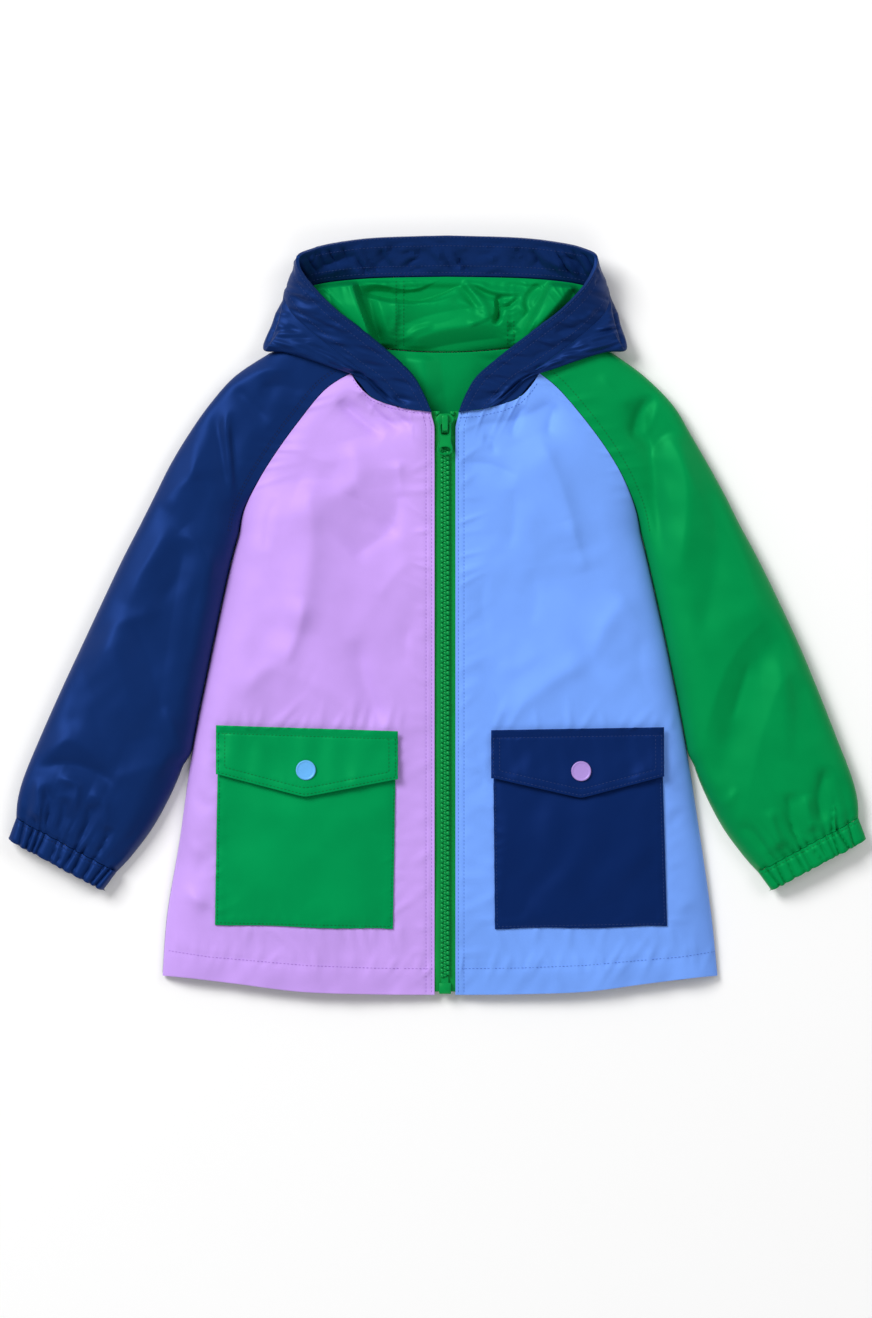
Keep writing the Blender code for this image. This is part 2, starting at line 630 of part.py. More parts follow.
def make_hood_lining():
    """Lining of the hood, from the band's inner edge down to the back neck, raised at its sides."""
    rows = []
    places = [9.2 + (2 * CROWN - 18.4) * i / 12 for i in range(13)]
    neck_half = abs(RAGLAN[-1].back_x)
    for share in (0.0, 0.12, 0.3, 0.55, 0.8, 1.0):
        row = []
        for place in places:
            edge = band_point(place, 1.0, -BAND_WALL / 2) + Vector((0, -2.6 * SEAM, 0))
            middle = BAND[CROWN].rim_x
            x = middle + (edge.x - middle) * (1 + 0.05 * math.sin(math.pi * share))
            low = back_neck_y(min(max(edge.x, -neck_half), neck_half)) + SEAM
            lying = HOOD_LINING_FACE + HOOD_LINING_RISE * smooth((abs(x) - 82) / 20)
            row.append((x, mix(edge.y, low, share), mix(edge.z, lying, smooth(share / 0.4))))
        rows.append(row)
    sheet("hood_lining", rows, LINING, "lining_green", turned=True)


# Pockets: a patch bag and a pointed flap on each front, with a snap cap

def on_front(side, x, y, lift):
    return (x, y, front_top(side, x, y) + lift)


def patch(side, corners, lift, steps):
    """Rows of points over a four-cornered patch on a front: bottom out, bottom in, top in, top out."""
    foot_out, foot_in, top_in, top_out = [Vector(c) for c in corners]
    rows = []
    for i in range(steps + 1):
        start, end = foot_out.lerp(top_out, i / steps), foot_in.lerp(top_in, i / steps)
        rows.append([on_front(side, *start.lerp(end, j / steps), lift) for j in range(steps + 1)])
    return rows


def make_pocket(pocket):
    side, label = pocket.side, SIDES[pocket.side]
    hidden = Vector((0, -POCKET_HIDDEN))
    top_in, top_out = Vector(pocket.top_in) + hidden, Vector(pocket.top_out) + hidden
    inward = Vector((-side * 1.0, 0))
    corners = (pocket.foot_out, pocket.foot_in, top_in - inward * 1.5, top_out + inward * 1.5)
    rows = patch(side, corners, LAID_ON + CLOTH, 8)
    sheet("pocket_" + label, rows, CLOTH, pocket.cloth, turned=side == LEFT)

    flap_lift = 2 * (LAID_ON + CLOTH)
    top_out, top_in = Vector(pocket.top_out), Vector(pocket.top_in)
    tip = Vector(pocket.flap_tip)
    middle = top_out.lerp(top_in, 0.5).y - FLAP_DROP
    rows = []
    for i in range(4):
        share = i / 3
        row = []
        for j in range(9):
            top = top_out.lerp(top_in, j / 8)
            point = 1 - abs(j - 4) / 4
            foot = top.y - FLAP_DROP + (tip.y - middle) * point
            row.append(on_front(side, top.x, mix(foot, top.y, share), flap_lift))
        rows.append(row)
    sheet("flap_" + label, rows, CLOTH, pocket.cloth, turned=side == LEFT)

    cap_z = front_top(side, pocket.snap_x, pocket.snap_y) + flap_lift + 0.5
    make_snap("snap_" + label, pocket.snap_x, pocket.snap_y, cap_z,
              "snap_blue" if side == RIGHT else "snap_lilac")


def make_snap(name, x, y, z, material):
    """A snap's cap, turned from its profile: a flat disc with a rounded edge and a low dome."""
    profile = [(0.0, 2.0), (3.8, 1.8), (6.2, 1.2), (7.0, 0.5), (6.6, 0.0), (0.0, 0.0)]
    mesh = bpy.data.meshes.new(name)
    mesh.from_pydata([Vector((r, 0, h)) * MM for r, h in profile], [(i, i + 1) for i in range(5)], [])
    obj = bpy.data.objects.new(name, mesh)
    obj.location = Vector((x, y, z)) * MM
    screw = obj.modifiers.new("turn", "SCREW")
    screw.steps = screw.render_steps = 18
    screw.use_merge_vertices = True
    screw.merge_threshold = 0.00001
    finish(obj, material)


# Zip: two tapes, the chain of teeth as one strip, top stops, bottom box, slider and pull

def tape_top(y):
    return front_height(y) - CLOTH - 2 * SEAM


ZIP_STATIONS = 14


def zip_ys(low, high):
    return [mix(low, high, i / ZIP_STATIONS) for i in range(ZIP_STATIONS + 1)]


def make_zip_tape(side):
    rows = []
    for y in zip_ys(HEM_AT_ZIP + 0.6, 126.0) + [131.0, 135.0, 139.0, 143.4]:
        inner = 0.3 + 3.2 * smooth((y - 126.0) / 13.0)
        rows.append([(side * x, y, tape_top(y)) for x in (TAPE_REACH, inner)])
    sheet("zip_tape_" + SIDES[side], rows, TAPE_WALL, "zip_green", turned=side == LEFT)


def make_zip_chain():
    rows = []
    for y in zip_ys(HEM_AT_ZIP + 9.0, CHAIN_TOP):
        z = tape_top(y) + 2 * SEAM + CHAIN_WALL
        rows.append([(-CHAIN_HALF, y, z), (CHAIN_HALF, y, z)])
    sheet("zip_chain", rows, CHAIN_WALL, "zip_green")


def box(low, high):
    """Mesh object of a box between two corners, not yet in the jacket."""
    low, high = Vector(low) * MM, Vector(high) * MM
    bpy.ops.mesh.primitive_cube_add(size=1)
    obj = bpy.context.active_object
    bm = bmesh.new()
    bm.from_mesh(obj.data)
    for vert in bm.verts:
        vert.co = Vector([mix(a, b, v + 0.5) for a, b, v in zip(low, high, vert.co)])
    bm.to_mesh(obj.data)
    bm.free()
    obj.users_collection[0].objects.unlink(obj)
    return obj


def cutter(obj):
    obj.hide_render = True
    obj.display_type = "WIRE"
    CUTTERS.objects.link(obj)
    return obj


def combine(obj, others, operation):
    for other in others:
        modifier = obj.modifiers.new(operation.lower(), "BOOLEAN")
        modifier.operation = operation
        modifier.solver = "EXACT"
        modifier.object = cutter(other)


def make_zip_ends():
    """Bottom box and pin of the zip, and a stop at the top of each tape."""
    foot = HEM_AT_ZIP + 0.7
    floor = tape_top(foot + 7.7) + SEAM
    obj = box((-4.2, foot, floor), (4.2, foot + 7.7, floor + 2.8))
    obj.name = "zip_box"
    finish(obj, "zip_green")
    for side in SIDES:
        low = tape_top(142.0) + SEAM
        edges = sorted((side * 3.7, side * 6.6))
        obj = box((edges[0], 140.4, low), (edges[1], 143.3, low + CHAIN_WALL - 0.2))
        obj.name = "zip_stop_" + SIDES[side]
        finish(obj, "zip_green")


def slider_levels():
    """Heights of the slider: under plate's foot and top, top plate's foot and top, bridge's foot and top."""
    tape = tape_top(SLIDER_FOOT)
    chain = tape + 2 * SEAM + CHAIN_WALL
    under = tape - TAPE_WALL - SEAM
    plate_low = chain + SEAM
    return under - 1.2, under, plate_low, plate_low + 1.3, plate_low + 3.5, plate_low + 5.0


def make_slider():
    foot, under, low, high, arch_low, arch_high = slider_levels()
    half = [(4.0, SLIDER_FOOT), (4.3, 133.6), (6.1, 136.4), (6.35, 138.6), (3.4, SLIDER_HEAD)]
    outline = half + [(-x, y) for x, y in reversed(half)]
    slider = plate("zip_slider", outline, low, high, "zip_green")
    parts = [plate("slider_under", outline, foot, under, "zip_green")]
    JACKET.objects.unlink(parts[0])
    parts.append(box((-1.2, 139.0, under - 0.2), (1.2, 141.4, low + 0.2)))
    for side in SIDES:
        edges = sorted((side * 3.5, side * 4.1))
        parts.append(box((edges[0], 128.4, low - 1.4), (edges[1], 133.2, low + 0.2)))
    parts.append(box((-2.0, 138.9, high - 0.2), (2.0, 141.2, arch_high - 0.4)))
    parts.append(box((-2.0, 128.7, high - 0.2), (2.0, 130.5, arch_high - 0.4)))
    parts.append(box((-2.0, 129.2, arch_low), (2.0, 140.7, arch_high)))
    combine(slider, parts, "UNION")


def make_pull():
    """Pull tab: turns about its own top bar, which lies under the slider's bridge."""
    high = slider_levels()[3]
    axis_z = high + 1.05
    half = [(4.45, 0.65), (4.45, -9.0), (4.2, -11.0), (4.7, -14.0), (5.4, -17.2), (5.3, -19.6), (4.0, -21.4)]
    outline = [(-x, y) for x, y in half] + [(0.0, PULL_END - PULL_AXIS_Y)] + list(reversed(half))
    pull = plate("zip_pull", outline, -PULL_WALL / 2, PULL_WALL / 2, "zip_green")
    slot = box((-2.85, -8.4, -2), (2.85, -0.65, 2))
    bpy.ops.mesh.primitive_cylinder_add(vertices=20, radius=1 * MM, depth=4 * MM)
    eye = bpy.context.active_object
    eye.users_collection[0].objects.unlink(eye)
    for vert in eye.data.vertices:
        vert.co.x *= 4.0
        vert.co.y = vert.co.y * 2.2 - 18.8 * MM
    combine(pull, [slot, eye], "DIFFERENCE")
    hinge = bpy.data.objects.new("pull_hinge", None)
    hinge.location = Vector((0, PULL_AXIS_Y, axis_z)) * MM
    JACKET.objects.link(hinge)
    for obj in (pull, slot, eye):
        obj.parent = hinge


for old in list(bpy.data.objects):
    bpy.data.objects.remove(old, do_unlink=True)

JACKET = bpy.data.collections.new("rain_jacket")
CUTTERS = bpy.data.collections.new("cutters")
bpy.context.scene.collection.children.link(JACKET)
bpy.context.scene.collection.children.link(CUTTERS)
MATERIALS = {name: make_material(name) for name in COLOURS}

make_front(RIGHT, "lilac")
make_front(LEFT, "blue")
make_back()
make_back_lining()
make_sleeve(RIGHT, "navy")
make_sleeve(LEFT, "green")
make_cuff(RIGHT, "navy")
make_cuff(LEFT, "green")
make_hood_band()
for hood_half in SIDES:
    make_hood_side(hood_half)
make_hood_centre()
make_hood_lining()
for pocket_row in POCKETS:
    make_pocket(pocket_row)
for tape_half in SIDES:
    make_zip_tape(tape_half)
make_zip_chain()
make_zip_ends()
make_slider()
make_pull()
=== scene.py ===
import math

import bmesh
import bpy
import numpy as np
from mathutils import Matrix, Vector
from mathutils.bvhtree import BVHTree


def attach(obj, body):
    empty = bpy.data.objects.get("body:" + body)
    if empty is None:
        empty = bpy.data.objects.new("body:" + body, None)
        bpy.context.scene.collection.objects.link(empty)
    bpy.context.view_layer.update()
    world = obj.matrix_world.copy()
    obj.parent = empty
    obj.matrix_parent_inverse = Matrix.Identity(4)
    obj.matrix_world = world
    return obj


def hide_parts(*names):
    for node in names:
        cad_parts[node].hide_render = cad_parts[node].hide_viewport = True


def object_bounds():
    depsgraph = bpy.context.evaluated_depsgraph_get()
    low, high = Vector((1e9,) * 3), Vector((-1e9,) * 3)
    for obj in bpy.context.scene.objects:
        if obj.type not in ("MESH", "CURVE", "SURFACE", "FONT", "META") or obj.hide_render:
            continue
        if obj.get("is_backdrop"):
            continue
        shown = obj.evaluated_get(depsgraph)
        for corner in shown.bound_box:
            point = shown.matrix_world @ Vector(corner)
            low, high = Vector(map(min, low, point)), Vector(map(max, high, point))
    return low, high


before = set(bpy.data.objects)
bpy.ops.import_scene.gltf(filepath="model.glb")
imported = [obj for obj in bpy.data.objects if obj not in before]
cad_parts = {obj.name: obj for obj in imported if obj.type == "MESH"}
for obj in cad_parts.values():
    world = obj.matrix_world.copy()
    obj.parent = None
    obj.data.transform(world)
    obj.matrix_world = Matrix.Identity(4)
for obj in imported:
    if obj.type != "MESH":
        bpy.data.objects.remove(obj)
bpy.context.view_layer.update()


# Camera, table and light, in metres: the jacket lies on a white table under a large soft light up and
# to the left. Two paler lights stand across from it and beyond the hem, and the camera looks straight
# down from high above.

CAMERA_HEIGHT = 8.0
SENSOR = 36                      # in millimetres, like the lens
CLOTH_HEIGHT = 0.012             # height on the jacket at which the picture's length is measured
PICTURE_LENGTH = 0.9226          # what the picture covers on the jacket, foot to top
PICTURE_CENTRE = (-0.0063, -0.0301)
JACKET_MIDDLE = Vector((0.0, -0.02, 0.01))
TABLE_HALF, TABLE_TOP = 6, -0.0006


def new_object(name, data):
    obj = bpy.data.objects.new(name, data)
    bpy.context.collection.objects.link(obj)
    return obj


def new_material(name):
    """A material, its tree and its shader."""
    material = bpy.data.materials.new(name)
    material.use_nodes = True
    return material, material.node_tree, material.node_tree.nodes["Principled BSDF"]


camera_data = bpy.data.cameras.new("overhead")
camera_data.sensor_width = SENSOR
camera_data.lens = SENSOR * (CAMERA_HEIGHT - CLOTH_HEIGHT) / PICTURE_LENGTH
camera_data.clip_end = 50
camera = new_object("overhead", camera_data)
camera.location = (*PICTURE_CENTRE, CAMERA_HEIGHT)
bpy.context.scene.camera = camera
bpy.context.scene.view_settings.view_transform = "Standard"


def soft_light(name, place, width, power):
    """A square studio light that faces the jacket."""
    data = bpy.data.lights.new(name, "AREA")
    data.size, data.energy = width, power
    light = new_object(name, data)
    light.location = place
    light.rotation_euler = (JACKET_MIDDLE - Vector(place)).to_track_quat("-Z", "Y").to_euler()


soft_light("key light", (-2.9, 2.6, 3.7), 2.4, 246)
soft_light("fill light", (2.5, 1.5, 3.0), 1.6, 25)
soft_light("foot light", (0.5, -2.6, 3.0), 2.4, 20)

room = bpy.data.worlds.new("white room")
room.use_nodes = True
background = room.node_tree.nodes["Background"]
background.inputs["Color"].default_value = (1, 1, 1, 1)
background.inputs["Strength"].default_value = 0.32
bpy.context.scene.world = room

table_mesh = bpy.data.meshes.new("white table")
corners = [(x * TABLE_HALF, y * TABLE_HALF, TABLE_TOP) for x, y in ((-1, -1), (1, -1), (1, 1), (-1, 1))]
table_mesh.from_pydata(corners, [], [(0, 1, 2, 3)])
table = new_object("white table", table_mesh)
paper, _, paper_shader = new_material("white table")
paper_shader.inputs["Base Color"].default_value = (0.97, 0.97, 0.97, 1)
paper_shader.inputs["Roughness"].default_value = 0.9
paper_shader.inputs["Specular IOR Level"].default_value = 0.1
table_mesh.materials.append(paper)
table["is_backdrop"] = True


# Fronts: one panel of coated polyester each, cut in one from hem to neck and from the zip round to
# the side seam, where it rolls down to meet the back. Its slanted upper edge is the raglan seam.

# From here on, tables and sizes are in millimetres: X runs to the wearer's left, Y up to the hood and
# Z up from the table. Tables give the wearer's right half, and the lean column says how far the left
# half's line lies off centre.
MM = 0.001
CLOTH = 1.2                      # wall of the coated shell
SEAM = 0.35                      # gap between two sewn panels
FOOT = 1.95                      # height at which a front meets the back along the side seam
ROLL = 26.0                      # width over which a front rounds down to its side seam
ROLL_FADE = 48.0                 # and the length, above the underarm, over which it stops doing so
ZIP_HALF_GAP = 7.3
ZIP_FLARE, FLARE_FROM = 2.4, 131.0
ZIP_ROWS = (2.1, 6.0)            # the two rows of stitches beside the zip, from the front's edge
HEM_AT_ZIP, NECK_AT_ZIP = -265.3, 143.4
PUFF = 2.0                       # how much a front stands up in its middle
SEAM_DIP, SEAM_DIP_REACH = 1.2, 7.0
RIGHT, LEFT = -1, 1
SIDES = {RIGHT: "right", LEFT: "left"}

SIDE_SEAM = np.array([           # x, y, lean: hem to underarm
    (-198.0, -252.0, -3.5), (-194.6, -209.0, -4.0), (-186.0, -157.0, -3.4), (-177.0, -94.0, -3.8),
    (-164.5, -31.0, -3.6), (-151.0, 32.0, -3.8), (-144.2, 57.4, -3.5)])
RAGLAN = np.array([              # front x, y; back x, y; fold x, y; crest, bow, lean, lean of the fold
    (-144.2, 57.4, -144.2, 57.4, -213.5, 63.7, 21.0, 0, -3.5, -3.5),
    (-140.7, 74.2, -138.0, 75.0, -203.0, 84.7, 20.5, 0, -3.5, -3.5),
    (-130.2, 95.2, -125.0, 98.0, -192.5, 105.7, 20.0, 0, -2.4, -4.0),
    (-116.9, 116.2, -109.0, 122.0, -179.9, 126.7, 19.0, 0, -1.8, -3.8),
    (-101.5, 137.2, -91.0, 145.0, -165.2, 147.7, 18.0, 0, -1.8, -2.8),
    (-84.0, 158.2, -71.0, 167.0, -147.0, 168.0, 16.5, 3, -2.0, -3.8),
    (-66.0, 170.0, -49.0, 188.2, -122.5, 184.3, 15.0, 9, 0.0, -2.7)])
SIDE_SHARE = 10 / 18             # share of a front's rows that lie along the side seam
FRONT_HEIGHT = np.array([        # y, height of the fronts' outer face along the zip
    (-266.0, 8.4), (-245.0, 10.6), (-200.0, 13.6), (-120.0, 15.6), (0.0, 17.0), (80.0, 17.0),
    (110.0, 16.5), (172.0, 16.2)])
HEM = np.array([(-198.0, -252.0), (-165.0, -257.0), (-96.0, -263.0), (-50.0, -264.8), (-7.3, -265.3)])
NECK = np.array([(-66.0, 170.0), (-61.0, 162.0), (-52.5, 153.2), (-40.8, 148.3), (-24.0, 144.4),
                 (-9.7, 143.4)])

# Each crease: three points of its line (x, y), its height, below nought for a trough, and how far it
# fades out to the left and to the right of the line
FRONT_CREASES = {
    RIGHT: [
        (-97, 96, -94, 44, -104, -14, 5.6, 19, 26), (-98, 14, -104, -14, -114, -37, 3.0, 8, 14),
        (-104, 90, -82, 84, -62, 90, 2.0, 12, 14), (-68, 84, -61, 100, -66, 124, 2.4, 12, 14),
        (-34, 104, -34, 76, -40, 54, -2.4, 8, 18), (-32, 64, -50, 52, -66, 40, -2.2, 9, 16),
        (-32, 110, -32, 98, -31, 82, 1.3, 5, 6), (-120, 110, -131, 80, -139, 34, 1.5, 9, 7),
        (-118, 84, -124, 66, -126, 44, -0.9, 4, 6), (-146, -60, -122, -36, -94, -47, 2.4, 12, 10),
        (-104, -42, -80, -54, -52, -74, 1.5, 12, 9), (-62, -14, -56, -48, -43, -80, -2.8, 8, 16),
        (-20, 42, -36, 28, -48, 10, 0.9, 8, 9), (-76, 152, -60, 138, -42, 124, -2.6, 5, 6),
        (-60, 156, -46, 141, -30, 128, -2.2, 4, 5), (-44, 152, -36, 142, -22, 133, -1.8, 4, 5),
        (-112, 124, -94, 112, -74, 106, 0.9, 5, 7), (-192, -118, -180, -127, -168, -122, -1.2, 5, 7),
        (-186, -100, -176, -108, -164, -102, 1.0, 5, 5), (-198, -206, -182, -197, -166, -204, 1.3, 6, 6),
        (-176, -150, -170, -166, -172, -184, -0.9, 5, 7), (-24, -6, -28, -20, -24, -34, -0.8, 4, 8),
        (-76, 154, -48, 138, -16, 133, -2.4, 7, 15), (-198, -128, -180, -126, -162, -136, -2.0, 6, 6),
        (-200, -168, -182, -160, -164, -170, 1.8, 6, 6), (-202, -200, -184, -192, -164, -206, 2.0, 7, 7)],
    LEFT: [
        (64, 128, 80, 92, 94, 44, 3.2, 10, 20), (86, 68, 93, 48, 99, 30, 1.4, 6, 9),
        (130, 14, 113, -6, 102, -34, 2.2, 14, 10), (44, -72, 74, -46, 104, -30, 2.4, 14, 10),
        (22, -32, 34, -48, 42, -68, -1.1, 6, 8), (10, 107, 30, 106, 52, 97, -1.5, 5, 7),
        (26, 124, 33, 122, 34, 112, -1.1, 4, 4), (47, 90, 49, 68, 44, 46, -1.1, 5, 12),
        (60, 34, 64, 12, 58, -8, -0.9, 6, 12), (112, 124, 126, 96, 134, 62, 0.9, 6, 8),
        (104, 132, 112, 112, 116, 88, -0.8, 5, 7), (30, 30, 26, 8, 32, -16, -0.8, 5, 8),
        (36, -34, 52, -36, 70, -22, 0.9, 8, 6), (140, -10, 136, -36, 146, -66, -1.0, 8, 9),
        (168, -100, 160, -108, 154, -118, 0.9, 5, 5), (172, -132, 163, -140, 158, -152, -0.9, 5, 6),
        (184, -190, 172, -200, 160, -208, 1.0, 6, 6), (20, -92, 26, -108, 24, -128, -0.7, 5, 6),
        (56, 148, 50, 137, 46, 124, -1.8, 4, 5), (80, 150, 74, 138, 72, 124, -1.8, 5, 5),
        (14, 133, 50, 137, 84, 154, -2.4, 7, 15)]}
POCKET_EDGES = (34.0, 158.0, -218.5, -78.5)


def smooth(t):
    t = np.clip(t, 0.0, 1.0)
    return t * t * (3 - 2 * t)


def mix(a, b, t):
    return a + (b - a) * t


def through(rows, place):
    """Smooth curve through evenly numbered rows; place counts rows, and may be an array."""
    rows = np.asarray(rows, float)
    place = np.clip(np.asarray(place, float), 0, len(rows) - 1)
    i = np.minimum(place.astype(int), len(rows) - 2)
    f = (place - i)[..., None]
    a, b, c, d = rows[np.maximum(i - 1, 0)], rows[i], rows[i + 1], rows[np.minimum(i + 2, len(rows) - 1)]
    return 0.5 * (2 * b + (c - a) * f + (2 * a - 5 * b + 4 * c - d) * f ** 2
                  + (3 * b - a - 3 * c + d) * f ** 3)


def bell(distance, width):
    """1 on a line, and soon nought on both sides of it."""
    return np.exp(-(distance / width) ** 2)


def onto_side(x, lean, side):
    """Where x of the wearer's right half lies on a side."""
    return x if side == RIGHT else 2 * lean - x


def rounding(distance, width):
    """Height share, 0 to 1, of a rounded edge at a distance from it."""
    t = 1 - np.clip(distance / width, 0.0, 1.0)
    return np.sqrt(1 - t * t)


def creases(x, y, rows, edge=None):
    """Height that a table of creases gives the cloth; with an edge they have flat sides meeting in it."""
    total = np.zeros(np.shape(x))
    for x0, y0, x1, y1, x2, y2, height, left, right in rows:
        line = through([(x0, y0), (x1, y1), (x2, y2)], np.linspace(0, 2, 13))
        near, turn, along = np.full(np.shape(x), 1e9), np.zeros(np.shape(x)), np.zeros(np.shape(x))
        for i in range(12):
            (ax, ay), (bx, by) = line[i], line[i + 1] - line[i]
            f = np.clip(((x - ax) * bx + (y - ay) * by) / (bx * bx + by * by), 0, 1)
            dx, dy = x - ax - f * bx, y - ay - f * by
            distance = dx * dx + dy * dy
            closer = distance < near
            near = np.where(closer, distance, near)
            turn = np.where(closer, bx * dy - by * dx, turn)
            along = np.where(closer, (i + f) / 12, along)
        far = np.sqrt(near) / np.where(turn > 0, left, right)
        if edge:
            rise = math.hypot(1, edge) - np.hypot(far, edge)
        else:
            rise = np.exp(0.45 - 1.5 * np.hypot(far, 0.3))
        total += height * smooth(along / 0.3) * smooth((1 - along) / 0.3) * np.maximum(rise, 0)
    return total


def ripple(x, y, size, seed):
    """Soft uneven waves, up to about one unit high and as long as the given size."""
    chance = np.random.default_rng(seed)
    x, y = x + 0.25 * size * np.sin(y / size * 2.1 + seed), y + 0.25 * size * np.sin(x / size * 1.7)
    total = 0
    for _ in range(9):
        turn, length = chance.uniform(0, math.pi), size * chance.uniform(0.7, 1.8)
        wave = (x * math.cos(turn) + y * math.sin(turn)) / length + chance.uniform(0, 1)
        total = total + np.sin(math.tau * wave)
    return total / 3.5


def tucks(along, off, start, end, spacing, reach, seed):
    """Small ridges that sewing draws up across a seam: distances along the seam and off it."""
    chance = np.random.default_rng(seed)
    total = np.zeros(np.broadcast_shapes(np.shape(along), np.shape(off)))
    place = start
    while place < end:
        place += spacing * chance.uniform(0.5, 1.6)
        height, far = chance.uniform(0.3, 1), reach * chance.uniform(0.5, 1.5)
        wide, lean = spacing * chance.uniform(0.14, 0.28), chance.normal(0.3, 0.35)
        total += height * np.exp(-((along - place - lean * off) / wide) ** 2 - (off / far) ** 2)
    return total


def run_along(line):
    """Distance along a line of points (x, y), at each of them."""
    return np.concatenate([[0], np.cumsum(np.hypot(*np.diff(line, axis=0).T))])


def front_height(y):
    """Height of the fronts' outer face along the zip."""
    i = np.clip(np.searchsorted(FRONT_HEIGHT[:, 0], y) - 1, 0, len(FRONT_HEIGHT) - 2)
    (low_y, low), (high_y, high) = FRONT_HEIGHT[i].T, FRONT_HEIGHT[i + 1].T
    return mix(low, high, smooth((y.T - low_y) / (high_y - low_y))).T


def front_edge(side, share):
    """Points (x, y) of a front's outer edge; share runs from hem to neck."""
    seam = through(SIDE_SEAM, share / SIDE_SHARE * (len(SIDE_SEAM) - 1))
    raglan = through(RAGLAN, (share - SIDE_SHARE) / (1 - SIDE_SHARE) * (len(RAGLAN) - 1))
    low = share < SIDE_SHARE
    x = np.where(low, onto_side(seam[..., 0], seam[..., 2], side),
                 onto_side(raglan[..., 0], raglan[..., 8], side))
    return x, np.where(low, seam[..., 1], raglan[..., 1])


EDGES = {side: front_edge(side, np.linspace(0, 1, 400)) for side in SIDES}


def edge_x(side, y):
    return np.interp(y, EDGES[side][1], EDGES[side][0])


def rolled_share(y):
    """1 where the front's edge is rolled down to the table, 0 where it runs on into the sleeve."""
    return 1 - smooth((y - RAGLAN[0, 1]) / ROLL_FADE)


def zip_edge_x(side, y):
    return side * (ZIP_HALF_GAP + ZIP_FLARE * smooth((y - FLARE_FROM) / 12.0))


HEM_TURNED = 18.3                # depth of the turned-up hem


def hem_y(x):
    """How far up the jacket the hem lies, at a distance from the zip."""
    return np.interp(np.abs(x), -HEM[::-1, 0], HEM[::-1, 1])


def front_face(side, x, y):
    """Height of a front's outer face."""
    outer = edge_x(side, y)
    inset = np.abs(outer) - np.abs(x)
    across = np.clip(inset / np.maximum(np.abs(outer) - ZIP_HALF_GAP, 1.0), 0, 1)
    rolled = rolled_share(y)
    crown = front_height(y) + PUFF * np.sin(np.pi * across)
    crown -= SEAM_DIP * (1 - rolled) * bell(inset, SEAM_DIP_REACH)
    crown += 1.3 * creases(x, y, FRONT_CREASES[side]) * smooth(inset / 20)
    crown += 0.7 * ripple(x, y, 110, 5 + side) * smooth(inset / 30)
    crown += 0.2 * ripple(x, y, 26, 11 + side) * smooth(inset / 20)
    at_zip = np.abs(x) - ZIP_HALF_GAP
    crown += 1.1 * tucks(y, at_zip - 8.5, -266, 140, 12, 9, 21 + side) * smooth(at_zip / 6)
    for row in ZIP_ROWS:
        crown -= 0.22 * bell(at_zip - row, 0.75)
    from_zip = smooth(at_zip / 5)
    off_raglan = inset * 0.8
    crown += 1.0 * (1 - rolled) * tucks(y, off_raglan, 60, 172, 10, 9, 31 + side)
    to_hem = y - hem_y(x)
    crown += 1.6 * tucks(x, to_hem - HEM_TURNED - 2, -200, 200, 9, 9, 41 + side) * from_zip
    crown += 0.5 * ripple(x, to_hem * 0.5, 15, 46 + side) * smooth(1 - to_hem / 30) * from_zip
    crown -= 0.45 * bell(to_hem - HEM_TURNED, 1.6) * from_zip
    neck = y - np.interp(-np.abs(x), NECK[:, 0], NECK[:, 1])
    crown += 0.9 * tucks(x, neck + 3, -70, 70, 8, 10, 51 + side) * smooth((inset - 4) / 20)
    near, far, foot, top = POCKET_EDGES
    past = np.maximum(near - np.abs(x), np.abs(x) - far)
    above = np.maximum(foot - y, y - top)
    beside_it = smooth((past + 3) / 4) * smooth(1 - (above - 2) / 6)
    crown += 1.1 * tucks(y, past - 2, foot - 6, top + 8, 10, 8, 61 + side) * beside_it
    beyond = smooth((above + 3) / 4) * smooth(1 - (past - 2) / 6)
    crown += 1.4 * tucks(x, above - 2, -170, 170, 9, 10, 66 + side) * beyond * from_zip
    return FOOT + (crown - FOOT) * (1 - rolled * (1 - rounding(inset, ROLL)))


def near_edge(width, close, middle, last=(0,)):
    """Distances across a panel: close together by its first edge, evenly, then as last from its far one."""
    start = np.array([0.0, 0.35, 0.9, 1.7, 2.8, 4.2, 6.0, 8.0, 10.2, 12.5, 15.0])[:close]
    width = np.asarray(width, float)[..., None]
    end = width - np.array(last)[::-1]
    rest = start[-1] + (end[..., :1] - start[-1]) * np.arange(1, middle) / middle
    return np.concatenate([np.broadcast_to(start, rest.shape[:-1] + start.shape), rest, end], -1)


STITCHED_EDGE = (0, 0.7, 1.4, 2.1, 2.8, 3.6, 4.5, 5.3, 6.0, 6.7, 7.6, 9.0, 11.0)


def front_points(side, rows=226, middle=72):
    share = np.linspace(0, 1, rows)
    edge_xs, edge_ys = front_edge(side, share)
    zip_y = mix(HEM_AT_ZIP, NECK_AT_ZIP, (edge_ys - edge_ys[0]) / (edge_ys[-1] - edge_ys[0]))
    zip_x = zip_edge_x(side, zip_y)
    width = np.abs(edge_xs - zip_x)
    u = near_edge(width, 11, middle, STITCHED_EDGE) / width[:, None]
    x, y = mix(edge_xs[:, None], zip_x[:, None], u), mix(edge_ys[:, None], zip_y[:, None], u)
    hem, neck, up = through(HEM, u * (len(HEM) - 1)), through(NECK, u * (len(NECK) - 1)), share[:, None]
    y = y + (hem[..., 1] - mix(HEM[0, 1], HEM[-1, 1], u)) * (1 - up) ** 3
    x = x - side * (neck[..., 0] - mix(NECK[0, 0], NECK[-1, 0], u)) * up ** 4
    y = y + (neck[..., 1] - mix(NECK[0, 1], NECK[-1, 1], u)) * up ** 4
    return np.stack([x, y, front_face(side, x, y)], -1)


